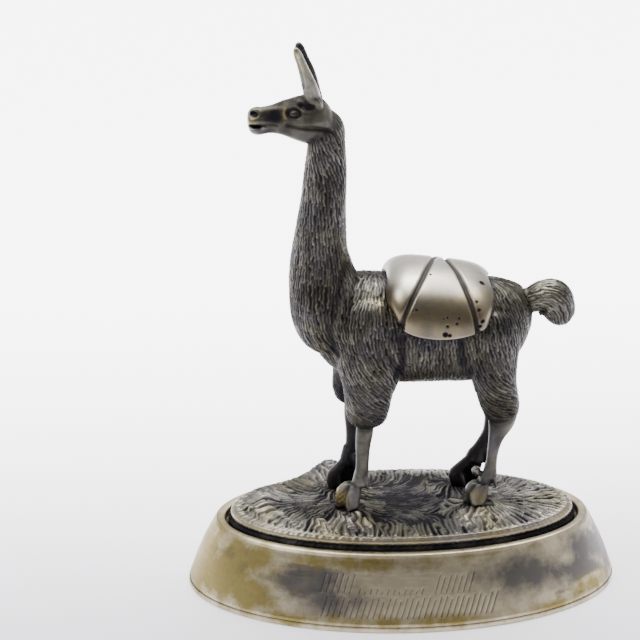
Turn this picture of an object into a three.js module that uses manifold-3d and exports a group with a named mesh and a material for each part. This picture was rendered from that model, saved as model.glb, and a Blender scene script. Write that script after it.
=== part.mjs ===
// A cast llama carrying a pack, standing on a plate of grass set in a tapered oval plinth.
// Millimetres. +X runs towards the tail, +Y away from the side shown, +Z up. Origin: centre of the underside.
import * as THREE from "three";
import { mergeVertices } from "three/addons/utils/BufferGeometryUtils.js";
import Module from "manifold-3d";

const wasm = await Module();
wasm.setup();

// Plinth and base plate
const FOOT = [25.22, 14.72]; // half-axes of the outline on the table
const TAPER = [3.21, 3.45]; // how far the rim stands in from the foot
const PLINTH_H = 7.7; // from the base plate to the rim
const LIP = 1.05; // width of the lip round the recess
const RECESS = 0.85; // depth of the recess
const BASE_T = 0.65; // base plate thickness
const SEAM = 0.12; // how far the plinth's lower edge stands in from the base plate's
const OVAL_STEPS = 60;

// Ground plate
const GROUND_GAP = 0.66; // between the plate's edge and the wall of the recess
const GROUND_T = 1.95; // thickness at its edge
const SWELL = 0.55; // rise of its middle over its edge
const MOUND = 1.35; // height of the near hooves over its edge
const GROUND_RINGS = 11;

// Figure
const FIGURE_H = 56.45; // from under the near hooves to the ear tips
const LOCK = 0.18; // relief of the fleece's locks

// Pack
const PACK_R = [6.8, 6.9, 6.6]; // half-length at the top, half-width, height
const PACK_FOOT = 4.7; // half-length at its lower edge
const PACK_TILT = 0.012; // how far it drops per mm towards the tail
const PACK_AT = [6.9, 40.9]; // its middle along X and its lower edge, as shares of the figure
const SEAT_GAP = 0.3; // clearance of the pack over the fleece
const STRAP_W = 0.6;
const STRAP_DEPTH = 0.4;

// Heights and half-axes that follow from these
const RIM = FOOT.map((half, k) => half - TAPER[k]);
const RIM_Z = BASE_T + PLINTH_H;
const RECESS_Z = RIM_Z - RECESS;
const RECESS_R = RIM.map((half) => half - LIP - 0.1);
const GROUND = RECESS_R.map((half) => half - GROUND_GAP);
const GROUND_Z = RECESS_Z + GROUND_T;
const STAND_Z = GROUND_Z + MOUND;

// The figure's pose and carving are hundredths of its height, with z counted from under its near hooves.
const share = (hundredths) => (hundredths / 100) * FIGURE_H;
const place = ([x, y, z]) => [share(x), share(y), STAND_Z + share(z)];

// The middle of each foot's flat underside
const STANCE = {
  near_front: [-11.2, -5.7, 0],
  far_front: [-12.8, 5.1, -0.9],
  near_hind: [15.5, -5.7, 0.2],
  far_hind: [12.4, 5.1, -0.9],
};

const silver = (name, color) =>
  new THREE.MeshStandardMaterial({ name, color, metalness: 0.9, roughness: 0.4 });

const solidOf = (geometry) => {
  geometry.deleteAttribute("normal");
  geometry.deleteAttribute("uv");
  const merged = mergeVertices(geometry, 1e-4);
  return new wasm.Manifold(
    new wasm.Mesh({
      numProp: 3,
      vertProperties: new Float32Array(merged.attributes.position.array),
      triVerts: new Uint32Array(merged.index.array),
    }),
  );
};
const join = (solids) => solids.reduce((all, one) => all.add(one));

function meshOf(solid, name, material) {
  const { vertProperties, triVerts } = solid.getMesh();
  const geometry = new THREE.BufferGeometry();
  geometry.setAttribute("position", new THREE.BufferAttribute(new Float32Array(vertProperties), 3));
  geometry.setIndex(new THREE.BufferAttribute(new Uint32Array(triVerts), 1));
  geometry.computeVertexNormals();
  const mesh = new THREE.Mesh(geometry, material);
  mesh.name = name;
  return mesh;
}

const box = (lo, hi) => {
  const size = hi.map((h, i) => h - lo[i]);
  const geometry = new THREE.BoxGeometry(...size);
  return solidOf(geometry.translate(...lo.map((l, i) => l + size[i] / 2)));
};
function ball(centre, radii, steps = 10) {
  const geometry = new THREE.SphereGeometry(1, steps, steps / 2);
  return solidOf(geometry.scale(...radii.map(share)).translate(...place(centre)));
}

const rounded = (value, power) => Math.sign(value) * Math.abs(value) ** (2 / power);
const bell = (d) => Math.exp(-d * d);

// Smooth reading of a table of rows at t from 0 to 1.
function reading(rows, t) {
  const u = t * (rows.length - 1);
  const i = Math.min(Math.floor(u), rows.length - 2);
  const f = u - i;
  const at = (j) => rows[Math.max(0, Math.min(rows.length - 1, j))];
  return rows[i].map((_, k) => {
    const [a, b, c, d] = [at(i - 1)[k], at(i)[k], at(i + 1)[k], at(i + 2)[k]];
    return b + 0.5 * f * (c - a + f * (2 * a - 5 * b + 4 * c - d + f * (3 * (b - c) + d - a)));
  });
}

const BACKWARD = new THREE.Vector3(1, 0, 0);
const FORWARD = new THREE.Vector3(-1, 0, 0);
const DOWN = new THREE.Vector3(0, 0, -1);

// A closed body through rows of [x, y, z, half-depth in the XZ plane, half-width in Y], rounded at its ends.
// relief(t, angle, x) gives how far each point moves outwards, and grow widens every section.
// axis fixes the direction its sections face; without it they follow the middle line.
function sweep(rows, options) {
  const { around = 20, along = 16, cap = 0.1, square = 2, grow = 0, relief = null, axis = null } = options;
  const geometry = new THREE.SphereGeometry(1, around, along);
  const position = geometry.attributes.position;
  const side = new THREE.Vector3(0, 1, 0);
  for (let i = 0; i < position.count; i++) {
    const height = THREE.MathUtils.clamp(position.getY(i), -1, 1);
    const t = (Math.acos(height) / Math.PI + (1 - height) / 2) / 2;
    const angle = Math.atan2(position.getZ(i), position.getX(i));
    const [x, y, z, deep, wide] = reading(rows, t);
    const before = reading(rows, Math.max(0, t - 0.02));
    const after = reading(rows, Math.min(1, t + 0.02));
    const tangent = axis ?? new THREE.Vector3(after[0] - before[0], 0, after[2] - before[2]).normalize();
    const out = new THREE.Vector3().crossVectors(side, tangent);
    const nearEnd = Math.min(1, Math.min(t, 1 - t) / cap);
    const full = Math.sqrt(Math.max(0, 1 - (1 - nearEnd) ** 2));
    const [c, s] = [rounded(Math.cos(angle), square), rounded(Math.sin(angle), square)];
    const lift = relief && full > 0.2 ? relief(t, angle, x) * full : 0;
    const p = new THREE.Vector3(...place([x, y, z]))
      .addScaledVector(out, c * ((share(deep) + grow) * full + lift))
      .addScaledVector(side, s * ((share(wide) + grow) * full + lift));
    position.setXYZ(i, p.x, p.y, p.z);
  }
  return solidOf(geometry);
}

// Locks of fleece: ridges run round the section and are stepped along it like shingles.
const locks = (ridges, tiers, depth = LOCK) => (t, angle) => {
  const tier = t * tiers;
  const step = tier - Math.floor(tier);
  return depth * (Math.cos(angle * ridges + Math.PI * Math.floor(tier)) * 0.7 + step - 0.8);
};

// A closed oval body through rings of [z, half-length, half-width]; the first and last close on the axis.
function ovalStack(rings, steps = OVAL_STEPS) {
  const geometry = new THREE.CylinderGeometry(1, 1, 1, steps, rings.length - 1);
  const position = geometry.attributes.position;
  const wall = rings.length * (steps + 1);
  for (let i = 0; i < wall; i++) {
    const ring = rings[rings.length - 1 - Math.floor(i / (steps + 1))];
    const turn = ((i % (steps + 1)) / steps) * 2 * Math.PI;
    position.setXYZ(i, ring[1] * Math.cos(turn), ring[2] * Math.sin(turn), ring[0]);
  }
  const side = new THREE.BufferGeometry();
  side.setAttribute("position", position);
  side.setIndex(Array.from(geometry.index.array).slice(0, (rings.length - 1) * steps * 6));
  const kept = mergeVertices(side, 1e-4);
  const faces = [];
  const list = kept.index.array;
  for (let k = 0; k < list.length; k += 3) {
    const [a, b, c] = [list[k], list[k + 1], list[k + 2]];
    if (a !== b && b !== c && a !== c) faces.push(a, b, c);
  }
  kept.setIndex(faces);
  return solidOf(kept);
}

function plinth() {
  const grow = (t) => [0, 1].map((k) => FOOT[k] + (RIM[k] - FOOT[k]) * t);
  const wall = [0, 0.35, 0.7, 0.93].map((t) => {
    const [a, b] = grow(t);
    const belly = 0.22 * Math.sin(Math.PI * t);
    const inset = t ? 0 : SEAM;
    return [BASE_T + (RIM_Z - BASE_T) * t, a + belly - inset, b + belly - inset];
  });
  const lip = [0, 0.35, 1].map((t) => [
    RIM_Z + 0.12 * Math.sin(Math.PI * t) - 0.06 * t,
    RIM[0] - LIP * t,
    RIM[1] - LIP * t,
  ]);
  return ovalStack([[BASE_T, 0, 0], ...wall, ...lip, [RECESS_Z, ...RECESS_R], [RECESS_Z, 0, 0]]);
}

const basePlate = () =>
  ovalStack([[0, 0, 0], [0, FOOT[0] - 0.06, FOOT[1] - 0.06], [0.15, ...FOOT],
    [BASE_T, FOOT[0] - SEAM, FOOT[1] - SEAM], [BASE_T, 0, 0]]);

// Humps of the grass, as shares of the plate's half-length: [x, y, rise, half-length, half-width]
const TUFTS = [
  [-0.4, 0.31, 0.1, 0.13, 0.1],
  [-0.81, 0.03, 0.035, 0.06, 0.16],
  [-0.515, -0.277, 0.027, 0.11, 0.05],
  [0.34, -0.257, 0.03, 0.064, 0.064],
  [0.168, 0.297, 0.022, 0.158, 0.09],
];

// Height of the grass: a shallow swell, tufts, a mound under each hoof, strands running outwards at the edge.
function grassHeight(x, y) {
  const r = Math.hypot(x / GROUND[0], y / GROUND[1]);
  let h = GROUND_Z + SWELL * (1 - r ** 3);
  for (const tuft of TUFTS) {
    const [tx, ty, rise, a, b] = tuft.map((part) => part * GROUND[0]);
    h += rise * bell(Math.hypot((x - tx) / a, (y - ty) / b));
  }
  for (const hoof of Object.values(STANCE)) {
    const [hx, hy, hz] = place(hoof);
    const near = bell(Math.hypot((x - hx) / share(5.1), (y - hy) / share(4.3)) ** 1.7);
    h += (hz + 0.12 - h) * near;
  }
  const strand = Math.cos(OVAL_STEPS * 0.5 * Math.atan2(y / GROUND[1], x / GROUND[0]));
  return h + 0.16 * strand * Math.max(0, r - 0.35) * (r < 0.97 ? 1 : 0.3);
}

function ground() {
  const rings = [[RECESS_Z, 0, 0], [RECESS_Z, GROUND[0] - 0.35, GROUND[1] - 0.35],
    [RECESS_Z + 0.4 * GROUND_T, ...GROUND], [GROUND_Z - 0.35, ...GROUND]];
  for (let i = 0; i <= GROUND_RINGS; i++) {
    const f = 1 - i / GROUND_RINGS;
    rings.push([GROUND_Z, (GROUND[0] - 0.25) * f, (GROUND[1] - 0.25) * f]);
  }
  const { vertProperties, triVerts } = ovalStack(rings).getMesh();
  const points = new Float32Array(vertProperties);
  for (let i = 0; i < points.length; i += 3)
    if (points[i + 2] > GROUND_Z - 0.01) points[i + 2] = grassHeight(points[i], points[i + 1]);
  let solid = new wasm.Manifold(new wasm.Mesh({ numProp: 3, vertProperties: points, triVerts }));
  for (const hoof of Object.values(STANCE)) {
    const [x, y, z] = place(hoof);
    const hollow = [[z, 0, 0], [z, share(3.6), share(2.9)], [z + 4, share(4.6), share(3.9)], [z + 4, 0, 0]];
    solid = solid.subtract(ovalStack(hollow, 16).translate([x, y, 0]));
  }
  return solid;
}

// Torso rows, reused with a clearance to seat the pack.
const TORSO = [
  [-18.8, 0, 39.7, 9.2, 7.4],
  [-12.4, 0, 39.3, 10.6, 8.9],
  [-6.4, 0, 38.6, 11.5, 9.9],
  [0.4, 0, 37.9, 11.3, 10.2],
  [7.1, 0, 37.7, 11.1, 10.2],
  [13.5, 0, 37.6, 10.9, 9.9],
  [18.8, 0, 37.9, 10.3, 9],
  [23.2, 0, 39.5, 7.4, 6.9],
  [26.3, 0, 40.7, 4.8, 4.6],
];
const torso = (grow, relief) =>
  sweep(TORSO, { around: 20, along: 16, cap: 0.13, axis: BACKWARD, grow, relief });

const neckAndChest = () =>
  sweep(
    [
      [-16.5, 0, 86.1, 2.7, 2.7],
      [-16.1, 0, 82.2, 3.7, 3.2],
      [-16, 0, 77.8, 3.8, 3.5],
      [-16.2, 0, 72.6, 4.3, 3.8],
      [-16.5, 0, 67.3, 4.5, 4.2],
      [-17, 0, 61.3, 5, 4.7],
      [-17.3, 0, 55.6, 5.7, 5.3],
      [-16.7, 0, 50.7, 6.8, 6.4],
      [-15.5, 0, 46.1, 8, 7.8],
      [-14.7, 0, 40.7, 8.3, 8.3],
      [-13.7, 0, 36.1, 7.4, 7.1],
      [-11.9, 0, 32.4, 5.7, 5.3],
    ],
    { around: 18, along: 24, cap: 0.09, axis: DOWN, relief: locks(9, 8) },
  );

// Forehead, muzzle and jaw, with the groove under the cheek and the hollow before the ear.
function head() {
  const carve = (t, angle, x) => {
    const up = -Math.cos(angle);
    const out = Math.abs(Math.sin(angle));
    const groove = bell((up + 0.36) / 0.16) * (x > -24.4 && x < -15.2 ? 1 : 0) * out;
    const hollow = bell((up - 0.62) / 0.2) * bell((x + 19.3) / 2);
    const brow = bell((up - 0.62) / 0.22) * bell((x + 22.9) / 1.4);
    return share(0.28 * brow - 0.45 * groove - 0.53 * hollow);
  };
  const skull = sweep(
    [
      [-14.2, 0, 82.2, 2.1, 2.3],
      [-15.6, 0, 83.3, 3.5, 3.1],
      [-17.4, 0, 84.1, 4.3, 3.6],
      [-19.7, 0, 84.1, 5, 3.8],
      [-22.1, 0, 84.1, 4.4, 3.5],
      [-24.8, 0, 84.3, 3.5, 2.6],
      [-27.3, 0, 84.1, 2.9, 1.9],
      [-29.8, 0, 83.7, 2.9, 1.8],
      [-31.9, 0, 84.1, 2.6, 1.6],
    ],
    { around: 20, along: 18, cap: 0.09, square: 2.3, axis: FORWARD, relief: carve },
  );
  const both = (make) => [make(-1), make(1)];
  const eyes = both((s) => ball([-22.6, s * 2.95, 86], [1.1, 0.75, 0.75]));
  const nostrils = both((s) => ball([-31, s * 1.4, 85.3], [0.75, 0.75, 0.57]));
  const mouth = ball([-32.1, 0, 82.7], [2.7, 2.85, 0.6], 12);
  const corner = ball([-29.9, 0, 82.9], [2.85, 2.85, 0.25], 12);
  return join([skull, ...eyes]).subtract(join([...nostrils, mouth, corner]));
}

// An ear leaning forwards, its hollow facing forwards and out. tip moves its point back and down.
function ear(side, tip) {
  const y = (f) => side * (2.05 + 0.45 * f);
  const horn = sweep(
    [
      [-18.2, y(0), 87, 1.7, 1.2],
      [-18.9, y(0.2), 90, 1.8, 1.1],
      [-19.7 + tip / 4, y(0.5), 93.2, 1.65, 0.9],
      [-20.8 + tip / 2, y(0.8), 96.4 - tip / 2, 1.3, 0.75],
      [-22.1 + tip, y(1), 100 - tip, 1, 0.57],
    ],
    { around: 10, along: 9, cap: 0.12 },
  );
  const scoop = sweep(
    [
      [-20.7, y(1.6), 91.1, 0.5, 0.4],
      [-21.4, y(1.8), 94.6, 0.6, 0.5],
      [-22.6 + tip, y(1.9), 98.9 - tip, 0.4, 0.3],
    ],
    { around: 6, along: 6, cap: 0.2 },
  );
  return horn.subtract(scoop);
}

const tail = () =>
  sweep(
    [
      [22, 0, 42.3, 2.8, 2.7],
      [25.5, 0, 43.4, 2.6, 2.3],
      [28.2, 0, 44.2, 3.3, 2.8],
      [30.3, 0, 43.7, 4.2, 3.5],
      [31.8, 0, 41.5, 3.5, 3.2],
      [32.5, 0, 37.9, 2.4, 2.1],
    ],
    { around: 14, along: 11, cap: 0.16, relief: locks(7, 5) },
  );

// A foot of two toes pointing forwards, cut flat where it stands.
function foot([x, y, z], ankle) {
  const toe = (s) =>
    sweep(
      [
        [ankle[0] + 0.2, y + s * 0.35, ankle[1] + 2.3, 1.25, 0.9],
        [ankle[0] - 0.2, y + s * 0.57, ankle[1] - 0.2, 1.85, 1.1],
        [x + 0.25, y + s * 0.8, z + 2.5, 2.05, 1.2],
        [x - 0.6, y + s * 0.9, z - 0.7, 2.05, 1.17],
      ],
      { around: 9, along: 6, cap: 0.16 },
    );
  return join([toe(-1), toe(1)]).subtract(box(place([x - 7, y - 7, z - 7]), place([x + 7, y + 7, z])));
}

// A leg: woolly above, bare below, then its foot. Rows are [x, z, half-depth, half-width, y].
function leg(stance, wool, bare, tiers) {
  const row = ([x, z, deep, wide, y]) => [x, y, z, deep, wide];
  const ankle = bare[bare.length - 1];
  return join([
    sweep(wool.map(row), { around: 14, along: 12, cap: 0.1, relief: locks(7, tiers) }),
    sweep(bare.map(row), { around: 8, along: 8, cap: 0.08 }),
    foot(stance, [ankle[0], ankle[1]]),
  ]);
}

const nearFront = () =>
  leg(STANCE.near_front,
    [[-7.1, 47.5, 4.3, 3.9, -4.6], [-7.4, 42.2, 6.2, 5.3, -5.1], [-7.6, 36.5, 6.7, 5.5, -5.3],
      [-7.3, 30.8, 6.4, 5, -5.7], [-7.6, 26.2, 5, 4.3, -5.8], [-7.8, 22.3, 4.5, 3.7, -5.8],
      [-7.6, 18.4, 3.4, 2.8, -5.8]],
    [[-8.1, 21.6, 1.7, 1.4, -5.8], [-8.3, 17.4, 1.8, 1.5, -5.8], [-8.6, 14.5, 1.6, 1.3, -5.7],
      [-8.7, 11.3, 1.4, 1.2, -5.7], [-8.8, 8.5, 1.4, 1.2, -5.7], [-8.9, 5.3, 1.8, 1.5, -5.7]], 6);

const farFront = () =>
  leg(STANCE.far_front,
    [[-8.1, 45.7, 4.3, 3.9, 4.6], [-8.5, 40.4, 6, 5.1, 5], [-8.7, 35.1, 6.4, 5.3, 5.1],
      [-8.9, 30.1, 5.7, 4.6, 5.3], [-9.4, 25.9, 4.9, 3.9, 5.1], [-9.8, 22.3, 4.5, 3.5, 5.1],
      [-9.9, 18.8, 3.2, 2.7, 5.1]],
    [[-10.1, 21.6, 1.6, 1.4, 5.1], [-10.4, 17, 1.5, 1.4, 5.1], [-10.3, 13.5, 1.3, 1.2, 5.1],
      [-10.2, 10.6, 1.3, 1.2, 5.1], [-10.4, 8.1, 1.4, 1.3, 5.1], [-10.9, 5.3, 1.8, 1.5, 5.1]], 6);

const nearHind = () =>
  leg(STANCE.near_hind,
    [[16.8, 44.6, 4.6, 3.9, -4.3], [17.1, 40.4, 6.3, 5.1, -4.8], [17.2, 35.8, 6.4, 5.3, -5.1],
      [17.9, 31.2, 5.1, 4.6, -5.5], [18.6, 26.9, 4.3, 3.9, -5.7], [19.5, 23.2, 4, 3.4, -5.7],
      [20.4, 19, 3.3, 2.7, -5.7]],
    [[20.1, 21.6, 3.2, 2.1, -5.7], [19.9, 18.8, 2.8, 1.9, -5.7], [18.9, 15.2, 1.6, 1.4, -5.7],
      [18.3, 12, 1.2, 1.1, -5.7], [18, 9.2, 1.2, 1.2, -5.7], [17.5, 5.5, 1.8, 1.5, -5.7]], 6);

const farHind = () =>
  leg(STANCE.far_hind,
    [[17.4, 44.6, 4.4, 3.9, 4.3], [17.7, 40.4, 6, 5.1, 4.8], [17.9, 35.8, 6.2, 5.3, 5.1],
      [18.2, 31.2, 5, 4.4, 5.3], [19, 26.9, 3.9, 3.7, 5.3], [19.8, 23, 3.5, 3.2, 5.1],
      [20.2, 19.5, 2.8, 2.5, 5.1]],
    [[19.8, 21.6, 2.7, 1.9, 5.1], [19.8, 17.4, 2.3, 1.8, 5.1], [19.4, 14.2, 1.9, 1.5, 5.1],
      [18.8, 11.3, 1.7, 1.3, 5.1], [17.7, 8.7, 1.9, 1.4, 5.1], [16.3, 6, 2.4, 1.7, 5.1]], 6);

const llama = () =>
  join([torso(0, locks(10, 7)), neckAndChest(), head(), ear(-1, 0), ear(1, 0.35), tail(),
    nearFront(), farFront(), nearHind(), farHind()]);

// The middle of the pack's lower edge
const PACK_C = place([PACK_AT[0], 0, PACK_AT[1]]);

// The pack's smooth outside, scaled by k about that point.
function packSkin(k) {
  const geometry = new THREE.SphereGeometry(1, 24, 15).rotateZ(Math.PI / 2);
  const position = geometry.attributes.position;
  for (let i = 0; i < position.count; i++) {
    const [u, v, w] = [position.getX(i), position.getY(i), position.getZ(i)];
    const ring = Math.sqrt(Math.max(1e-12, 1 - u * u));
    const [cy, cz] = [v / ring, w / ring];
    const half = PACK_FOOT + (PACK_R[0] - PACK_FOOT) * Math.min(1, Math.max(0, cz) * 1.35);
    const corner = u < 0 ? 3.8 : 3.2;
    const swell = rounded(ring, corner);
    position.setXYZ(
      i,
      PACK_C[0] + k * half * rounded(u, corner),
      PACK_C[1] + k * PACK_R[1] * swell * rounded(cy, 2.15),
      PACK_C[2] + k * PACK_R[2] * swell * rounded(cz, 2.15) * (1 - PACK_TILT * half * u),
    );
  }
  return solidOf(geometry);
}

// A thin slab for one cord's groove. It starts just past the middle line, passing it at x on the pack's top,
// and leans along X by slope[0] for each mm outwards and by slope[1] for each mm down.
function strapSlab(side, x, slope) {
  const [reach, deep] = [PACK_R[1] + 2, PACK_R[2] + 5];
  const geometry = new THREE.BoxGeometry(STRAP_W, reach, deep);
  const position = geometry.attributes.position;
  for (let i = 0; i < position.count; i++) {
    const out = position.getY(i) + reach / 2 - STRAP_W / 2;
    const down = deep / 2 - position.getZ(i) - 2;
    const shift = PACK_C[0] + x + slope[0] * out + slope[1] * down;
    position.setXYZ(i, position.getX(i) + shift, side * out, PACK_C[2] + PACK_R[2] - down);
  }
  if (side < 0) {
    const faces = geometry.index.array;
    for (let k = 0; k < faces.length; k += 3) [faces[k + 1], faces[k + 2]] = [faces[k + 2], faces[k + 1]];
  }
  return solidOf(geometry);
}

function pack() {
  const core = packSkin(1 - STRAP_DEPTH / PACK_R[2]);
  const grooves = [-1, 1].flatMap((side) => [
    strapSlab(side, -0.3, [-0.377, -0.191]), strapSlab(side, 0.5, [0.61, 0]),
  ]);
  const below = PACK_C.map((middle, k) => middle + (k === 2 ? 0 : 2 * PACK_R[0]));
  return packSkin(1)
    .subtract(join(grooves).subtract(core))
    .subtract(torso(SEAT_GAP + LOCK, null))
    .subtract(box([PACK_C[0] - 2 * PACK_R[0], -2 * PACK_R[0], PACK_C[2] - 2 * PACK_R[2]], below));
}

const root = new THREE.Group();
root.add(meshOf(basePlate(), "base_plate", silver("worn silver", 0xb5ae9c)));
root.add(meshOf(plinth(), "plinth", silver("satin silver", 0xb9b2a0)));
root.add(meshOf(ground(), "ground", silver("grass silver", 0x8d8775)));
root.add(meshOf(llama(), "llama", silver("oxidised silver", 0x6e6c66)));
root.add(meshOf(pack(), "pack", silver("polished silver", 0xa9a393)));

export default root;
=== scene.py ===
"""A small cast silver llama with a pack on its back, on a plate of grass set in a tapered oval plinth."""

from collections import deque
import math

import bpy
import numpy as np
from mathutils import Matrix, Vector
from mathutils.bvhtree import BVHTree
from mathutils.kdtree import KDTree


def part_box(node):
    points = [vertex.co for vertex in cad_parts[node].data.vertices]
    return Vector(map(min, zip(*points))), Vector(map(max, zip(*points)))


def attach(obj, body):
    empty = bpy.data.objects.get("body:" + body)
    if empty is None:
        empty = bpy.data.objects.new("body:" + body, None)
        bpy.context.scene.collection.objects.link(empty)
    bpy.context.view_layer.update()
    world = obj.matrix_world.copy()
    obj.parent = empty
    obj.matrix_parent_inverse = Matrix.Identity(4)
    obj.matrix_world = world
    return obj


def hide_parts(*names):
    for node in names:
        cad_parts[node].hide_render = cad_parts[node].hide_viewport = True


bl_info = {
    "name": "Cast Llama Figurine",
    "version": (1, 0, 0),
    "blender": (4, 5, 0),
    "location": "View3D > Sidebar > Llama",
    "description": "Makes the fine surface of a cast silver llama figurine round its packed solids",
    "category": "Object",
}

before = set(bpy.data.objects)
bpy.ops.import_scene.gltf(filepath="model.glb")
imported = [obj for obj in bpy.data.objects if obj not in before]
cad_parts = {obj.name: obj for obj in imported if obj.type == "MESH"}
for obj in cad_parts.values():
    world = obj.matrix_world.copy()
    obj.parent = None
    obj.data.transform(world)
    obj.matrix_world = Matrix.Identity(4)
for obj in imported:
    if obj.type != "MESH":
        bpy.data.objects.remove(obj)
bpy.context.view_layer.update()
MM = 0.001  # metres in a millimetre; every piece is modelled in millimetres and scaled once at its end


def box_mm(node):
    """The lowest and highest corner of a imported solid, in millimetres."""
    low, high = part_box(node)
    return np.array(low) / MM, np.array(high) / MM


# Plinth and base plate, in millimetres
FOOT = box_mm("base_plate")[1][:2]
BASE_T = box_mm("base_plate")[1][2]
TAPER = np.array([3.21, 3.45])
RIM = FOOT - TAPER
RIM_Z = BASE_T + 7.7
LIP = 1.05
BELLY = 0.22  # how far the wall swells at half its height
SEAM = 0.12  # how far it draws in at the base plate
SEAM_TALL = 1 / 24  # over which share of its height
BASE_LOW_R = 0.16
BASE_TOP_R = 0.1
SHOULDER_R = 0.34  # rounding of the rim's outer edge
LIP_R = 0.26  # rounding of its inner edge
RECESS_Z = box_mm("ground")[0][2]

# Ground plate
PLATE = RIM - LIP - 0.76
PLATE_Z = RECESS_Z + 1.95
SWELL = 0.55
STAND_Z = PLATE_Z + 1.35  # under the near hooves

# Figure: its rows are hundredths of its height, counted from under the near hooves
FIGURE_H = box_mm("llama")[1][2] - STAND_Z
STANCE = {
    "near_front": (-11.2, -5.7, 0),
    "far_front": (-12.8, 5.1, -0.9),
    "near_hind": (15.5, -5.7, 0.2),
    "far_hind": (12.4, 5.1, -0.9),
}
FLEECE_LIFT = 0.1  # how far the tips of the locks stand out of the swept form
LLAMA_FACES = 196000  # triangles that its mesh is brought down to

# Pack
PACK_R = np.array([6.75, 7.3, 6.4])
PACK_SAG = 1.27  # how much lower its hem hangs in the middle than at the ends
PACK_TILT = 0.025
# Its two ends: [half-length at the hem, how soon it widens above, squareness at the hem and at the top]
PACK_ENDS = [(5.33, 2.2, 7.2, 3.8), (5.53, 0.8, 5.0, 3.5)]
PACK_PLAN = 5.5  # squareness of its plan, where 2 is an ellipse
PACK_SECTION = 2.25  # squareness of its cross-section
SEAT_GAP = 0.22
CORD_W = 0.7
CORD_DEPTH = 0.3
PIT_DEPTH = 0.12

# Camera, in millimetres, and its frame in pixels
EYE = np.array([-33.244, -407.097, 210.690])
LOOK = np.array([0.05290, 0.91553, -0.39876])
ROLL = math.radians(0.076)
FOCAL_PX = 3846.1
FRAME_PX = 640
SENSOR_MM = 36


def share(hundredths):
    """A length from hundredths of the figure's height."""
    return np.asarray(hundredths, float) * FIGURE_H / 100


def place(point):
    """A point from hundredths of the figure's height."""
    return share(point) + np.array([0, 0, STAND_Z])


def linear(code):
    """An sRGB hex colour as linear red, green, blue and alpha."""
    values = [int(code[i:i + 2], 16) / 255 for i in (1, 3, 5)]
    return tuple(v / 12.92 if v <= 0.04045 else ((v + 0.055) / 1.055) ** 2.4 for v in values) + (1.0,)


def smoothstep(low, high, value):
    t = np.clip((value - low) / (high - low), 0, 1)
    return t * t * (3 - 2 * t)


def bell(value):
    return np.exp(-value * value)


def rounded(value, power):
    return np.sign(value) * np.abs(value) ** (2 / power)


def oval(x, y, centre, radii):
    """How far points lie from an oval's middle, where 1 is the oval itself."""
    return np.hypot((x - centre[0]) / radii[0], (y - centre[1]) / radii[1])


def lay(field, values):
    """Raises a field in place to at least the given values."""
    np.maximum(field, values, out=field)


# Settings that a user would change


def number_setting(name, default, description, **more):
    kind = bpy.props.IntProperty if isinstance(default, int) else bpy.props.FloatProperty
    return kind(name=name, description=description, default=default, **more)


def colour_setting(name, code, description):
    return bpy.props.FloatVectorProperty(
        name=name, description=description, subtype="COLOR", default=linear(code)[:3])


class FleeceSettings(bpy.types.PropertyGroup):
    grain: number_setting("Grain", 0.1, "Spacing of the figure's surface points in millimetres")
    pitch: number_setting("Lock pitch", 0.37, "Distance between neighbouring locks in millimetres")
    length: number_setting("Lock length", 0.95, "Half the length of a lock in millimetres")
    relief: number_setting("Relief", 0.2, "Height of the locks in millimetres")
    seed: number_setting("Seed", 7, "Start of the random draws")


class GroundSettings(bpy.types.PropertyGroup):
    across: number_setting("Columns", 430, "Grid faces along the plate")
    deep: number_setting("Rows", 204, "Grid faces across the plate")
    relief: number_setting("Relief", 0.36, "Height of the grass in millimetres")
    seed: number_setting("Seed", 11, "Start of the random draws")


class FinishSettings(bpy.types.PropertyGroup):
    bright: colour_setting("Bright silver", "#d2cec2", "Silver rubbed bright on ridges and edges")
    oxide: colour_setting("Oxide", "#1f1e22", "Black sulphide left in the hollows")
    fleece: colour_setting("Fleece", "#75726b", "Half worn grey of the fleece's locks")
    straw: colour_setting("Straw tarnish", "#8b7b42", "Golden film of thin tarnish")
    slate: colour_setting("Slate tarnish", "#5a585a", "Blue-grey film of thicker tarnish")


class StageSettings(bpy.types.PropertyGroup):
    floor: colour_setting("Floor", "#f1f0f8", "Colour of the plain floor")
    glow: number_setting("Glow", 5.5, "Light through the floor behind")
    world: number_setting("World", 1.25, "Strength of the pale surroundings")
    key: number_setting("Key", 2.4, "Power of the soft key light", unit="POWER")
    top: number_setting("Top", 6.0, "Power of the soft top light", unit="POWER")


def settings(name):
    return getattr(bpy.context.scene, "llama_" + name)


# Mesh helpers


def activate(obj):
    if bpy.context.object and bpy.context.object.mode != "OBJECT":
        bpy.ops.object.mode_set(mode="OBJECT")
    bpy.ops.object.select_all(action="DESELECT")
    obj.select_set(True)
    bpy.context.view_layer.objects.active = obj


def new_object(name, points, faces):
    mesh = bpy.data.meshes.new(name)
    mesh.from_pydata(np.asarray(points).tolist(), [], faces)
    mesh.update()
    obj = bpy.data.objects.new(name, mesh)
    bpy.context.collection.objects.link(obj)
    return obj


def apply_modifier(obj, kind, **values):
    activate(obj)
    modifier = obj.modifiers.new(kind, kind)
    for name, value in values.items():
        setattr(modifier, name, value)
    bpy.ops.object.modifier_apply(modifier=modifier.name)


def join_objects(objs):
    activate(objs[0])
    for obj in objs:
        obj.select_set(True)
    bpy.ops.object.join()
    return objs[0]


def add_shape(operator, **values):
    """Adds one of Blender's own meshes and gives its object."""
    bpy.ops.object.select_all(action="DESELECT")
    operator(**values)
    return bpy.context.object


def start_edit():
    bpy.ops.object.mode_set(mode="EDIT")
    bpy.ops.mesh.select_all(action="SELECT")


def end_edit():
    """Turns all faces outwards and leaves edit mode."""
    bpy.ops.mesh.select_all(action="SELECT")
    bpy.ops.mesh.normals_make_consistent(inside=False)
    bpy.ops.object.mode_set(mode="OBJECT")


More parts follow.
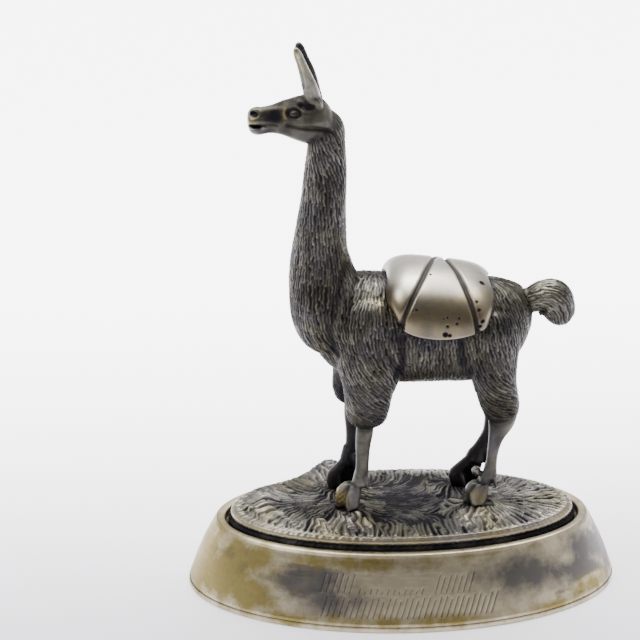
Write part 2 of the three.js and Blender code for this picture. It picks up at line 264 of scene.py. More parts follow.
def extrude_ring(before, after, rise):
    """Extrudes the selected oval by a rise and takes its half-axes from before to after."""
    bpy.ops.mesh.extrude_region_move(TRANSFORM_OT_translate={"value": (0, 0, rise)})
    bpy.ops.transform.resize(value=(after[0] / before[0], after[1] / before[1], 1), center_override=(0, 0, 0))


def cut(obj, cutter):
    """Takes the cutter's volume out of the object and deletes the cutter."""
    apply_modifier(obj, "BOOLEAN", operation="DIFFERENCE", solver="EXACT", object=cutter)
    bpy.data.objects.remove(cutter)


def column(items, key, width, kind=float):
    """One property of a mesh's vertices or edges, a row for each."""
    flat = np.empty(len(items) * width, kind)
    items.foreach_get(key, flat)
    return flat.reshape(-1, width)


def points_of(mesh):
    return column(mesh.vertices, "co", 3)


def normals_of(mesh):
    return column(mesh.vertices, "normal", 3)


def edges_of(mesh):
    return column(mesh.edges, "vertices", 2, np.int32)


def set_points(mesh, points):
    mesh.vertices.foreach_set("co", np.ascontiguousarray(points).ravel())
    mesh.update()


def set_attribute(mesh, name, values):
    attribute = mesh.attributes.new(name, "FLOAT", "POINT")
    attribute.data.foreach_set("value", np.ascontiguousarray(np.clip(values, 0, 1), dtype=np.float32))


def spread(values, edges, rounds, strength=0.5):
    """Averages a field with its neighbours along the edges, some rounds over."""
    flat = values.reshape(len(values), -1)
    count = len(flat)
    a, b = edges.T
    degree = np.maximum(1, np.bincount(a, minlength=count) + np.bincount(b, minlength=count))
    for _ in range(rounds):
        sums = [np.bincount(a, part[b], count) + np.bincount(b, part[a], count) for part in flat.T]
        flat = flat + strength * (np.stack(sums, 1) / degree[:, None] - flat)
    return flat.reshape(values.shape)


def distance_to(points, path):
    """Distance from each point to a line of points, in as many dimensions as the points have."""
    path = np.asarray(path, float)
    best = np.full(len(points), np.inf)
    for a, b in zip(path, path[1:]):
        run = b - a
        t = np.clip(((points - a) @ run) / max(run @ run, 1e-9), 0, 1)
        best = np.minimum(best, np.linalg.norm(points - a - t[:, None] * run, axis=1))
    return best


def camera_axes():
    """The camera's directions to the right, upwards and ahead."""
    ahead = LOOK / np.linalg.norm(LOOK)
    right = np.cross(ahead, (0, 0, 1))
    right /= np.linalg.norm(right)
    right = right * math.cos(ROLL) + np.cross(right, ahead) * math.sin(ROLL)
    return right, np.cross(right, ahead), ahead


def seen_at(points, pixel):
    """The foremost of the points close to the camera's ray through a pixel."""
    right, up, ahead = camera_axes()
    across, down = (np.array(pixel) - FRAME_PX / 2) / FOCAL_PX
    way = ahead + right * across - up * down
    way /= np.linalg.norm(way)
    apart = points - EYE
    depth = apart @ way
    return points[np.argmin(np.linalg.norm(apart - depth[:, None] * way, axis=1) + 0.02 * depth)]


def finish_piece(obj, name, node, material, sharp=60):
    """Names a finished piece, brings it to metres and puts it in the place of its solid."""
    activate(obj)
    obj.name = name
    obj.data.name = name
    obj.data.transform(Matrix.Scale(MM, 4))
    obj.data.materials.clear()
    obj.data.materials.append(material)
    bpy.ops.object.shade_smooth_by_angle(angle=math.radians(sharp))
    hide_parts(node)
    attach(obj, "root")


# Materials


def add_node(tree, kind, inputs=None, **values):
    """Adds one node: values are its own settings, inputs its sockets by name or number."""
    node = tree.nodes.new(kind)
    for name, value in values.items():
        setattr(node, name, value)
    for key, value in (inputs or {}).items():
        if isinstance(value, bpy.types.NodeSocket):
            tree.links.new(value, node.inputs[key])
        else:
            node.inputs[key].default_value = value
    return node


def new_material(name):
    material = bpy.data.materials.new(name)
    material.use_nodes = True
    tree = material.node_tree
    tree.nodes.clear()
    shader = add_node(tree, "ShaderNodeBsdfPrincipled")
    add_node(tree, "ShaderNodeOutputMaterial", {"Surface": shader.outputs[0]})
    return material, tree, shader


def noise(tree, size_mm, detail=3, roughness=0.55, stretch=(1, 1, 1)):
    """A noise whose grains measure about size_mm on the object."""
    where = add_node(tree, "ShaderNodeTexCoord").outputs["Object"]
    mapped = add_node(tree, "ShaderNodeMapping", {"Vector": where, "Scale": stretch})
    return add_node(tree, "ShaderNodeTexNoise", {
        "Vector": mapped.outputs[0], "Scale": 1 / (size_mm * MM), "Detail": detail, "Roughness": roughness,
    }).outputs[0]


def attributes(tree, *names):
    return [add_node(tree, "ShaderNodeAttribute", attribute_name=name).outputs["Fac"] for name in names]


def plus(tree, first, *others):
    """Adds up outputs or values."""
    for other in others:
        first = add_node(tree, "ShaderNodeMath", {0: first, 1: other}, operation="ADD").outputs[0]
    return first


def ranged(tree, value, low, high, to_low=0.0, to_high=1.0):
    return add_node(tree, "ShaderNodeMapRange", {
        "Value": value, "From Min": low, "From Max": high, "To Min": to_low, "To Max": to_high,
    }).outputs[0]


def swing(tree, texture, least, most):
    """Brings a noise, whose values lie mostly between 0.3 and 0.7, to a span of its own."""
    return ranged(tree, texture, 0.3, 0.7, least, most)


def blend(tree, factor, first, second, kind="MIX"):
    """Mixes two colours, each a value or an output."""
    return add_node(
        tree, "ShaderNodeMix", {0: factor, 6: first, 7: second}, data_type="RGBA", blend_type=kind).outputs[2]


def layer(tree, colour, value, low, high, over, most=1.0):
    """Lays another colour over one where a value goes from low to high."""
    return blend(tree, ranged(tree, value, low, high, 0, most), colour, over)


def coat(tree, shader, colour, metallic, rough):
    tree.links.new(colour, shader.inputs["Base Color"])
    shader.inputs["Metallic"].default_value = metallic
    tree.links.new(rough, shader.inputs["Roughness"])


def set_bump(tree, shader, height, distance_mm, strength=1.0):
    bump = add_node(tree, "ShaderNodeBump", {
        "Height": height, "Distance": distance_mm * MM, "Strength": strength,
    })
    tree.links.new(bump.outputs[0], shader.inputs["Normal"])


def rgba(colour):
    return (*colour, 1.0)


def tinted(tree, colour):
    """Lets a silver's grey drift between olive and violet, as thin tarnish does."""
    olive = ranged(tree, noise(tree, 5.5, 3), 0.45, 0.62, 0, 0.55)
    violet = ranged(tree, noise(tree, 4.3, 3), 0.48, 0.64, 0, 0.5)
    colour = blend(tree, olive, colour, linear("#e6e2b4"), "MULTIPLY")
    return blend(tree, violet, colour, linear("#d4d2ec"), "MULTIPLY")


def oxidised_silver():
    """Cast silver, blackened with sulphide and rubbed back.

    The eye sees black hollows, partly sulphide and partly painted shade, half worn grey locks with soft pale
    crests and painted highlights, and smoother brownish bare parts.
    """
    material, tree, shader = new_material("oxidised cast silver")
    finish = settings("finish")
    crest, bare, dark, warm = attributes(tree, "crest", "bare", "dark", "warm")
    patchy = noise(tree, 4.0, 4)
    grain = noise(tree, 0.22, 3)
    # worn also carries the painted shade and painted highlights that come in with crest
    worn = plus(tree, crest, swing(tree, patchy, -0.1, 0.12), swing(tree, grain, -0.1, 0.1))
    locks = layer(tree, rgba(finish.oxide), worn, 0.2, 0.66, linear("#4b4944"))
    locks = layer(tree, locks, worn, 0.6, 0.95, rgba(finish.fleece))
    locks = layer(tree, locks, worn, 0.95, 1.3, rgba(finish.bright), 0.9)
    smooth = layer(tree, linear("#393735"), patchy, 0.35, 0.68, linear("#54514b"))
    smooth = layer(tree, smooth, crest, 0.62, 1.0, rgba(finish.bright), 0.8)
    smooth = layer(tree, smooth, crest, 0.5, 0.2, rgba(finish.oxide), 0.9)
    smooth = layer(tree, smooth, noise(tree, 1.6, 3), 0.42, 0.6, linear("#302f2f"), 0.5)
    smooth = layer(tree, smooth, grain, 0.6, 0.75, linear("#3c3834"), 0.4)
    colour = tinted(tree, blend(tree, bare, locks, smooth))
    colour = blend(tree, warm, colour, linear("#7c7048"))
    # dark holds the face's oxide, and painted shade in the creases, under the pack, on the ears' inner sides and
    # on the legs' inner and far sides
    colour = blend(tree, dark, colour, linear("#1c1a1e"))
    coat(tree, shader, colour, 0.92, ranged(tree, worn, 0.2, 1.0, 0.62, 0.36))
    set_bump(tree, shader, grain, 0.02, 0.6)
    return material


def grass_silver():
    """The same casting silver on the grass plate: deep black roots and paler, more rubbed tips, with painted
    shade round the hooves and down the edge, and painted light on the clumps and the rolled edge.
    """
    material, tree, shader = new_material("cast silver grass")
    finish = settings("finish")
    crest, dark, bright = attributes(tree, "crest", "dark", "bright")
    patchy = noise(tree, 3.2, 4)
    grain = noise(tree, 0.25, 3)
    # bright adds painted light to the wear of the tips
    worn = plus(tree, crest, swing(tree, patchy, -0.18, 0.18), swing(tree, grain, -0.1, 0.1),
                ranged(tree, bright, 0, 1, -0.06, 0.3))
    colour = layer(tree, rgba(finish.oxide), worn, 0.25, 0.75, rgba(finish.fleece))
    colour = tinted(tree, layer(tree, colour, worn, 0.8, 1.3, linear("#b3a892"), 0.85))
    # dark is painted shade round the hooves, over the shaded patches and low on the edge's skirt
    colour = blend(tree, dark, colour, linear("#17151a"))
    coat(tree, shader, colour, 0.92, ranged(tree, worn, 0.2, 1.1, 0.6, 0.36))
    set_bump(tree, shader, grain, 0.025, 0.6)
    return material


def polished_silver():
    """Cast silver filed smooth and polished by handling.

    It mirrors softly, with grey smudges of tarnish, a brownish painted shade low on its sides, painted shade
    underneath, black pits and black cord grooves.
    """
    material, tree, shader = new_material("polished cast silver")
    dark, low = attributes(tree, "dark", "low")
    smudge = noise(tree, 3.4, 3)
    speck = noise(tree, 0.45, 3)
    colour = layer(tree, linear("#cdc9bf"), smudge, 0.36, 0.64, linear("#b0aa9d"))
    brown = layer(tree, linear("#7d7157"), smudge, 0.4, 0.62, linear("#5e5a50"))
    # low is painted shade: the brownish colour laid over the lower sides
    colour = layer(tree, colour, low, 0.0, 1.0, brown, 0.95)
    colour = layer(tree, colour, speck, 0.68, 0.8, linear("#5e564a"), 0.35)
    # dark: black cord grooves and pits, and painted shade on the underside
    colour = blend(tree, dark, colour, linear("#1d1b20"))
    rough = plus(tree, swing(tree, smudge, 0.33, 0.43), ranged(tree, dark, 0, 1, 0, 0.3))
    coat(tree, shader, colour, 1.0, rough)
    set_bump(tree, shader, speck, 0.01, 0.5)
    return material


def satin_silver(name):
    """Sheet silver raised over a form and brushed satin.

    The eye sees a soft sheen, straw-coloured and slate-grey films of tarnish with hard tide lines, and fine
    scratches that run round the oval.
    """
    material, tree, shader = new_material(name)
    finish = settings("finish")
    straw, slate, tide, dark = attributes(tree, "straw", "slate", "tide", "dark")
    cloud = noise(tree, 2.6, 5, 0.6)
    fine = noise(tree, 0.5, 4, 0.65)
    scratch = noise(tree, 0.16, 2, 0.5, (0.06, 0.06, 1))
    uneven = plus(tree, swing(tree, cloud, -0.24, 0.24), swing(tree, fine, -0.05, 0.05))
    yellow = layer(tree, rgba(finish.straw), fine, 0.36, 0.74, linear("#7d7141"))
    colour = layer(tree, linear("#cdc2a6"), cloud, 0.35, 0.65, linear("#b7ab8f"))
    colour = layer(tree, colour, plus(tree, slate, uneven), 0.2, 0.85, rgba(finish.slate), 0.9)
    colour = layer(tree, colour, plus(tree, straw, uneven), 0.24, 0.7, yellow, 0.9)
    colour = layer(tree, colour, plus(tree, tide, uneven), 0.5, 0.75, linear("#6f6248"), 0.55)
    colour = layer(tree, colour, fine, 0.66, 0.78, linear("#6b6255"), 0.3)
    # dark: the dark seam and strokes, and painted shade on the rim's inner side
    colour = blend(tree, dark, colour, linear("#2a2730"))
    rough = plus(tree, swing(tree, cloud, 0.34, 0.46), swing(tree, scratch, -0.05, 0.05),
                 ranged(tree, dark, 0, 1, 0, 0.2))
    coat(tree, shader, colour, 1.0, rough)
    set_bump(tree, shader, plus(tree, scratch, fine), 0.006, 0.5)
    return material


# Plinth and base plate


def raise_oval(rings, steps, gather=0.0):
    """A closed oval body, raised from a disc by extruding it ring by ring: [z, half-length, half-width].

    gather draws its columns together towards the front and the back, where the finest carving is.
    """
    obj = add_shape(bpy.ops.mesh.primitive_circle_add, vertices=steps, radius=1, fill_type="NGON")
    turn = np.arctan2(*points_of(obj.data)[:, 1::-1].T)
    turn = turn + gather * np.sin(2 * turn)
    z, a, b = rings[0]
    set_points(obj.data, np.stack([a * np.cos(turn), b * np.sin(turn), np.full(steps, z)], 1))
    start_edit()
    for (z0, *before), (z1, *after) in zip(rings, rings[1:]):
        extrude_ring(before, after, z1 - z0)
    end_edit()
    return obj


def wall_axes(t):
    """Half-axes of the plinth's wall at a share t of its height."""
    return FOOT - TAPER * t + BELLY * math.sin(math.pi * t) - SEAM * max(0.0, 1 - t / SEAM_TALL)


# Rows of plain slanted strokes on the front of the wall: [from x, to x, from z, to z]
STROKE_ROWS = [
    (-10.3, 9.9, 1.75, 3.9), (-10.3, -7.0, 4.35, 6.4), (2.9, 7.2, 4.3, 6.2), (-5.9, 1.9, 4.35, 4.9),
]
STROKE_PITCH = 0.66
STROKE_LEAN = 0.36
STROKE_R = 0.075
STROKE_DEPTH = 0.05
STROKE_TRIM = 0.3  # by how much every third stroke is shorter
# Where they can lie: within this x of the middle, in front of this y, between these heights
STROKE_FIELD = (12, -8, 1, 7.2)


def stroke_cover(points):
    """How deep each point of the front wall lies in a stroke, from 0 to 1."""
    x, y, z = points.T
    reach, front_y, bottom, top = STROKE_FIELD
    front = (y < front_y) & (np.abs(x) < reach) & (z < top) & (z > bottom)
    flat = points[front][:, [0, 2]]
    found = np.zeros(len(flat))
    for x0, x1, z0, z1 in STROKE_ROWS:
        for k, foot_x in enumerate(np.arange(x0, x1, STROKE_PITCH)):
            trim = STROKE_TRIM if k % 3 == 1 else 0.0
            close = np.abs(flat[:, 0] - foot_x) < 1.5
            ends = [(foot_x, z0), (foot_x + STROKE_LEAN * (z1 - z0 - trim), z1 - trim)]
            away = distance_to(flat[close], ends)
            found[close] = np.maximum(found[close], bell(away / STROKE_R) * (away < 0.35))
    cover = np.zeros(len(points))
    cover[front] = found
    return cover


# Films of tarnish on the wall, by height and place round the oval (-90 degrees is the middle of the front):
# [degrees, height, half-width in degrees, half-height, strength]
TARNISH = {
    "straw": [
        (-154, 4.4, 15, 4.2, 1.0), (-172, 4.6, 16, 5.0, 1.0), (-150, 6.6, 22, 2.2, 0.85),
        (-138, 2.6, 12, 2.4, 0.85), (-126, 0.9, 18, 1.2, 0.7), (-170, 3.5, 13, 4.2, 0.85),
        (-28, 1.8, 14, 1.4, 0.8), (-46, 1.0, 14, 0.9, 0.7), (-92, 1.2, 40, 1.0, 0.62),
        (-108, 7.5, 44, 0.9, 0.7), (-70, 7.9, 50, 0.4, 0.5), (75, 2.2, 32, 1.8, 0.7), (160, 3.2, 22, 3.0, 0.75),
    ],
    "slate": [
        (-123, 5.4, 16, 2.8, 1.0), (-113, 3.4, 14, 2.2, 0.85), (-88, 6.8, 24, 0.8, 0.35),
        (-27, 3.4, 17, 2.8, 1.0), (-52, 5.4, 18, 2.6, 0.95), (-38, 4.2, 14, 2.0, 0.8), (-20, 5.6, 16, 3.2, 1.0),
        (-6, 4.4, 14, 4.5, 1.0), (-172, 6.5, 12, 1.6, 0.6), (30, 4.8, 26, 3.0, 0.7), (120, 5.2, 30, 3.0, 0.7),
    ],
    "tide": [
        (-157, 6.4, 7, 1.3, 0.8), (-146, 5.2, 4, 1.2, 0.7), (-42, 2.3, 8, 0.5, 0.75),
        (-33, 1.5, 7, 0.35, 0.7),
    ],
}
TIDE_AT, TIDE_W = 0.42, 0.035  # at what strength of the straw film its dried edge lies, and how wide it is
TIDE_TO = -110  # where on the front that edge ends, in degrees


def paint_tarnish(obj, dark):
    points = points_of(obj.data)
    turn = np.degrees(np.arctan2(points[:, 1] / FOOT[1], points[:, 0] / FOOT[0]))
    films = {}
    for name, spots in TARNISH.items():
        films[name] = np.zeros(len(points))
        for degrees, height, wide, tall, strength in spots:
            apart = (turn - degrees + 180) % 360 - 180
            lay(films[name], strength * bell(oval(apart, points[:, 2], (0, height), (wide, tall))))
    straw = films["straw"]
    lay(films["tide"], 0.55 * bell((straw - TIDE_AT) / TIDE_W) * (turn < TIDE_TO))
    films["slate"] *= 1 - 0.8 * smoothstep(0.3, 0.6, straw)
    for name, values in films.items():
        set_attribute(obj.data, name, values)
    set_attribute(obj.data, "dark", dark)


class BuildBasePlate(bpy.types.Operator):
    """Flat oval plate that closes the plinth from below"""

    bl_idname = "llama.build_base_plate"
    bl_label = "Base plate"

    def execute(self, context):
        rings = []
        for turn in np.linspace(0, math.pi / 2, 5):
            rings.append([BASE_LOW_R * (1 - math.cos(turn)), *(FOOT - BASE_LOW_R * (1 - math.sin(turn)))])
        rings += [[z, *FOOT] for z in (0.28, 0.42)]
        for turn in np.linspace(0, math.pi / 2, 5):
            z = BASE_T - BASE_TOP_R * (1 - math.sin(turn))
            rings.append([z, *(FOOT - BASE_TOP_R * (1 - math.cos(turn)))])
        rings.append([BASE_T, *(FOOT - 1.0)])
        obj = raise_oval(rings, 960)
        paint_tarnish(obj, 0.6 * smoothstep(0.5, 0.66, points_of(obj.data)[:, 2]))
        silver = satin_silver("worn sheet silver")
        finish_piece(obj, "base_plate_worn", "base_plate", silver, 50)
        return {"FINISHED"}


class BuildPlinth(bpy.types.Operator):
    """Tapered oval plinth with a rolled rim, a recess for the ground and rows of shallow strokes"""

    bl_idname = "llama.build_plinth"
    bl_label = "Plinth"

    def execute(self, context):
        levels = 66
        shares = [0, 0.004, 0.012, 0.025, 0.042, *np.linspace(0.06, 0.965, levels)]
        rings = [[BASE_T + (RIM_Z - BASE_T) * t, *wall_axes(t)] for t in shares]
        for turn in np.linspace(0.15, 1, 6) * math.pi / 2:
            z = RIM_Z + 0.07 - SHOULDER_R * 0.72 * (1 - math.sin(turn))
            rings.append([z, *(RIM - SHOULDER_R * (1 - math.cos(turn)))])
        rings.append([RIM_Z + 0.05, *(RIM - LIP + 0.3)])
        for turn in np.linspace(0, 1, 6) * math.pi / 2:
            z = RIM_Z + 0.03 - LIP_R * (1 - math.cos(turn))
            rings.append([z, *(RIM - LIP + 0.2 - LIP_R * math.sin(turn))])
        for z, inset in ((RIM_Z - 0.45, 0.08), (RECESS_Z + 0.05, 0.1), (RECESS_Z, 0.16)):
            rings.append([z, *(RIM - LIP - inset)])
        obj = raise_oval(rings, 1080, 0.22)
        points = points_of(obj.data)
        cover = stroke_cover(points)
        set_points(obj.data, points - normals_of(obj.data) * (STROKE_DEPTH * cover)[:, None])
        x, y, z = points.T
        # Painted shade on the rim's inner side, darker going down into the recess
        inner = (oval(x, y, (0, 0), RIM) < 0.972) & (z > BASE_T + 1)
        dark = 0.75 * inner * smoothstep(RIM_Z - 0.1, RIM_Z - 0.45, z)
        lay(dark, 0.9 * bell((z - BASE_T) / 0.07))  # the seam on the base plate
        lay(dark, 0.95 * cover)
        paint_tarnish(obj, dark)
        finish_piece(obj, "plinth_satin", "plinth", satin_silver("satin sheet silver"), 50)
        return {"FINISHED"}


# Carved strands, for the fleece and for the grass


# A strand's wave, in radians per millimetre along x, y and z, and a slower wave that shifts it
WAVE_RUN = (1.3, 1.1, 5.2)
WAVE_SHIFT = (1.9, 0.7, 0.4)
# Where the next strands are tried: [lengths ahead, pitches aside, whether the first is drawn at random]
NEXT_STRANDS = [(0.5, 1, True), (-0.4, -1, True), (1.72, 0.4, False), (-1.72, -0.4, False)]


def comb(points, normals, flow, mask, pitch, length, lift, seed, wave):
    """Lays overlapping strands along the flow until the mask is covered; gives each point's height and tone.

    pitch, length and lift are values for each point: how far apart strands lie, half a strand's length, and
    how high it stands. Each strand is laid beside or behind one already there, so that they pack closely, and
    only shows where it rises above earlier ones.
    """
    tree = KDTree(len(points))
    for i, point in enumerate(points):
        tree.insert(point, i)
    tree.balance()
    rng = np.random.default_rng(seed)
    along = flow - normals * (flow * normals).sum(1)[:, None]
    along /= np.maximum(1e-9, np.linalg.norm(along, axis=1))[:, None]
    across = np.cross(normals, along)
    height = np.zeros(len(points))
    tone = np.full(len(points), 0.5)
    free = mask > 0.2
    waiting = deque()
    for start in rng.permutation(np.flatnonzero(free)):
        waiting.append(start)
        while waiting:
            i = waiting.popleft()
            if not free[i]:
                continue
            size = length[i] * rng.uniform(0.7, 1.3)
            near = np.array([j for _, j, _ in tree.find_range(points[i], size * 1.03)])
            near = near[(normals[near] @ normals[i]) > 0.1]
            apart = points[near] - points[i]
            u = (apart * (along[near] + along[i])).sum(1) / (2 * size)
            v = (apart * (across[near] + across[i])).sum(1) / 2
            phase = points[near] @ WAVE_RUN + 1.6 * np.sin(points[near] @ WAVE_SHIFT)
            v = v + wave * pitch[i] * np.sin(phase)
            half = pitch[i] * rng.uniform(0.54, 0.66) * (1 - 0.3 * np.maximum(0, u) ** 3)
            body = np.maximum(0, 1 - np.abs(v / half) ** 1.6)
            ends = smoothstep(-1, -0.6, u) * smoothstep(1.0, 0.86, u)
            rise = lift[i] * rng.uniform(0.72, 1.0) * (0.85 + 0.15 * u) * ends * body
            higher = rise > height[near]
            height[near[higher]] = rise[higher]
            tone[near[higher]] = rng.uniform(0, 1)
            free[near[(np.abs(u) < 0.8) & (np.abs(v) < pitch[i] * 0.8)]] = False
            free[i] = False
            for ahead, aside, drawn in NEXT_STRANDS:
                if drawn:
                    ahead *= rng.uniform(-1, 1)
                spot = points[i] + along[i] * (ahead * size) + across[i] * (aside * pitch[i] * 1.02)
                found, j, _ = tree.find(spot)
                if free[j] and np.linalg.norm(points[j] - spot) < pitch[i]:
                    waiting.append(j)
    return height, tone


# Figure: rows of [x, y, z, half-depth in the side plane, half-width], in hundredths of its height


def reading(rows, t):
    """Smooth reading of a table of rows at shares t from 0 to 1."""
    rows = np.asarray(rows, float)
    u = t * (len(rows) - 1)
    i = np.minimum(u.astype(int), len(rows) - 2)
    f = (u - i)[:, None]
    a, b, c, d = (rows[np.clip(i + k, 0, len(rows) - 1)] for k in (-1, 0, 1, 2))
    return b + 0.5 * f * (c - a + f * (2 * a - 5 * b + 4 * c - d + f * (3 * (b - c) + d - a)))


def sweep(name, rows, cap=0.1, square=2.0, axis=None, grow=0.0, relief=None, around=56, along=72):
    """A closed body through the rows, rounded at its ends, its sections turned with their middle line or kept
    square to a fixed axis.
    """
    s = np.linspace(0, 1, along + 1)
    t = (s + (1 - np.cos(np.pi * s)) / 2) / 2
    row = reading(rows, t)
    run = reading(rows, np.minimum(1, t + 0.02)) - reading(rows, np.maximum(0, t - 0.02))
    tangent = np.stack([run[:, 0], np.zeros(len(t)), run[:, 2]], 1)
    if axis is not None:
        tangent = np.tile(np.array(axis, float), (len(t), 1))
    tangent /= np.linalg.norm(tangent, axis=1)[:, None]
    side = np.array([0.0, 1.0, 0.0])
    out = np.cross(side, tangent)
    full = np.sqrt(np.maximum(0, 1 - (1 - np.minimum(1, np.minimum(t, 1 - t) / cap)) ** 2))
    angle = np.arange(around) * 2 * np.pi / around
    c, q = rounded(np.cos(angle), square), rounded(np.sin(angle), square)
    lift = relief(angle[None, :], row[:, 0][:, None]) * full[:, None] if relief else 0
    deep = (share(row[:, 3]) + grow)[:, None] * full[:, None] + lift
    wide = (share(row[:, 4]) + grow)[:, None] * full[:, None] + lift
    centre = place(row[:, :3])
    points = centre[:, None] + out[:, None] * (c * deep)[..., None] + side * (q * wide)[..., None]
    inner = points[1:-1].reshape(-1, 3)
    verts = np.concatenate([centre[:1], inner, centre[-1:]])
    last = len(verts) - 1
    faces = []
    for k in range(around):
        n = (k + 1) % around
        faces.append((0, 1 + n, 1 + k)[::-1])
        for r in range(along - 2):
            a, b = 1 + r * around + k, 1 + r * around + n
            faces.append((a, b, b + around, a + around))
        tail = 1 + (along - 2) * around
        faces.append((last, tail + k, tail + n)[::-1])
    return new_object(name, verts, faces)


def ball(name, centre, radii):
    """A ball stretched to three radii, in hundredths of the figure's height."""
    obj = add_shape(bpy.ops.mesh.primitive_uv_sphere_add, segments=32, ring_count=16, radius=1)
    obj.name = name
    set_points(obj.data, points_of(obj.data) * share(radii) + place(centre))
    return obj


TORSO = [
    [-18.8, 0, 39.7, 9.2, 7.4], [-12.4, 0, 39.3, 10.6, 8.9], [-6.4, 0, 38.6, 11.5, 9.9],
    [0.4, 0, 37.9, 11.3, 10.2], [7.1, 0, 37.7, 11.1, 10.2], [13.5, 0, 37.6, 10.9, 9.9],
    [18.8, 0, 37.9, 10.3, 9], [23.2, 0, 39.5, 7.4, 6.9], [26.3, 0, 40.7, 4.8, 4.6],
]
NECK = [
    [-16.5, 0, 86.1, 2.7, 2.7], [-16.1, 0, 82.2, 3.7, 3.2], [-16, 0, 77.8, 3.8, 3.5],
    [-16.2, 0, 72.6, 4.3, 3.8], [-16.5, 0, 67.3, 4.5, 4.2], [-17, 0, 61.3, 5, 4.7],
    [-17.3, 0, 55.6, 5.7, 5.3], [-16.7, 0, 50.7, 6.8, 6.4], [-15.5, 0, 46.1, 8, 7.8],
    [-14.7, 0, 40.7, 8.3, 8.3], [-13.7, 0, 36.1, 7.4, 7.1], [-11.9, 0, 32.4, 5.7, 5.3],
]
SKULL = [
    [-14.2, 0, 82.2, 2.1, 2.3], [-15.6, 0, 83.3, 3.5, 3.1], [-17.4, 0, 84.1, 4.3, 3.6],
    [-19.7, 0, 84.1, 5, 3.8], [-22.1, 0, 84.1, 4.4, 3.5], [-24.8, 0, 84.3, 3.5, 2.6],
    [-27.3, 0, 84.1, 2.9, 1.9], [-29.8, 0, 83.7, 2.9, 1.8], [-31.9, 0, 84.1, 2.6, 1.6],
]
TAIL = [
    [22, 0, 42.3, 2.8, 2.7], [25.5, 0, 43.4, 2.6, 2.3], [28.2, 0, 44.2, 3.3, 2.8],
    [30.3, 0, 43.7, 4.2, 3.5], [31.8, 0, 41.5, 3.5, 3.2], [32.5, 0, 37.9, 2.4, 2.1],
]
# Legs: rows of [x, z, half-depth, half-width, y], woolly above and bare below
LEGS = {
    "near_front": (
        [[-7.1, 47.5, 4.3, 3.9, -4.6], [-7.4, 42.2, 6.2, 5.3, -5.1], [-7.6, 36.5, 6.7, 5.5, -5.3],
         [-7.3, 30.8, 6.4, 5, -5.7], [-7.6, 26.2, 5, 4.3, -5.8], [-7.8, 22.3, 4.5, 3.7, -5.8],
         [-7.6, 18.4, 3.4, 2.8, -5.8]],
        [[-8.1, 21.6, 1.7, 1.4, -5.8], [-8.3, 17.4, 1.8, 1.5, -5.8], [-8.6, 14.5, 1.6, 1.3, -5.7],
         [-8.7, 11.3, 1.4, 1.2, -5.7], [-8.8, 8.5, 1.4, 1.2, -5.7], [-8.9, 5.3, 1.8, 1.5, -5.7]]),
    "far_front": (
        [[-8.1, 45.7, 4.3, 3.9, 4.6], [-8.5, 40.4, 6, 5.1, 5], [-8.7, 35.1, 6.4, 5.3, 5.1],
         [-8.9, 30.1, 5.7, 4.6, 5.3], [-9.4, 25.9, 4.9, 3.9, 5.1], [-9.8, 22.3, 4.5, 3.5, 5.1],
         [-9.9, 18.8, 3.2, 2.7, 5.1]],
        [[-10.1, 21.6, 1.6, 1.4, 5.1], [-10.4, 17, 1.5, 1.4, 5.1], [-10.3, 13.5, 1.3, 1.2, 5.1],
         [-10.2, 10.6, 1.3, 1.2, 5.1], [-10.4, 8.1, 1.4, 1.3, 5.1], [-10.9, 5.3, 1.8, 1.5, 5.1]]),
    "near_hind": (
        [[16.8, 44.6, 4.6, 3.9, -4.3], [17.1, 40.4, 6.3, 5.1, -4.8], [17.2, 35.8, 6.4, 5.3, -5.1],
         [17.9, 31.2, 5.1, 4.6, -5.5], [18.6, 26.9, 4.3, 3.9, -5.7], [19.5, 23.2, 4, 3.4, -5.7],
         [20.4, 19, 3.3, 2.7, -5.7]],
        [[20.1, 21.6, 3.2, 2.1, -5.7], [19.9, 18.8, 2.8, 1.9, -5.7], [18.9, 15.2, 1.6, 1.4, -5.7],
         [18.3, 12, 1.2, 1.1, -5.7], [18, 9.2, 1.2, 1.2, -5.7], [17.5, 5.5, 1.8, 1.5, -5.7]]),
    "far_hind": (
        [[17.4, 44.6, 4.4, 3.9, 4.3], [17.7, 40.4, 6, 5.1, 4.8], [17.9, 35.8, 6.2, 5.3, 5.1],
         [18.2, 31.2, 5, 4.4, 5.3], [19, 26.9, 3.9, 3.7, 5.3], [19.8, 23, 3.5, 3.2, 5.1],
         [20.2, 19.5, 2.8, 2.5, 5.1]],
        [[19.8, 21.6, 2.7, 1.9, 5.1], [19.8, 17.4, 2.3, 1.8, 5.1], [19.4, 14.2, 1.9, 1.5, 5.1],
         [18.7, 11.3, 1.6, 1.3, 5.1], [17.3, 8.7, 1.5, 1.35, 5.1], [16.0, 6, 2.0, 1.5, 5.1]]),
}


def skull():
    """Forehead, muzzle and jaw, with open mouth and nostrils."""
    head = sweep("skull", SKULL, cap=0.09, square=2.3, axis=(-1, 0, 0))
    eyes = [ball("eyeball", (-22.7, s * 2.75, 86.2), (0.95, 0.72, 0.62)) for s in (-1, 1)]
    pits = [ball("nostril", (-31, s * 1.6, 85.7), (0.95, 0.75, 0.8)) for s in (-1, 1)]
    pits += [ball("mouth", (-32.1, s * 1.8, 83.0), (3.0, 1.2, 0.55)) for s in (-1, 1)]
    pits += [ball("mouth_corner", (-29.9, s * 1.9, 83.2), (3.2, 1.2, 0.26)) for s in (-1, 1)]
    for pit in pits:
        cut(head, pit)
    return [head, *eyes]


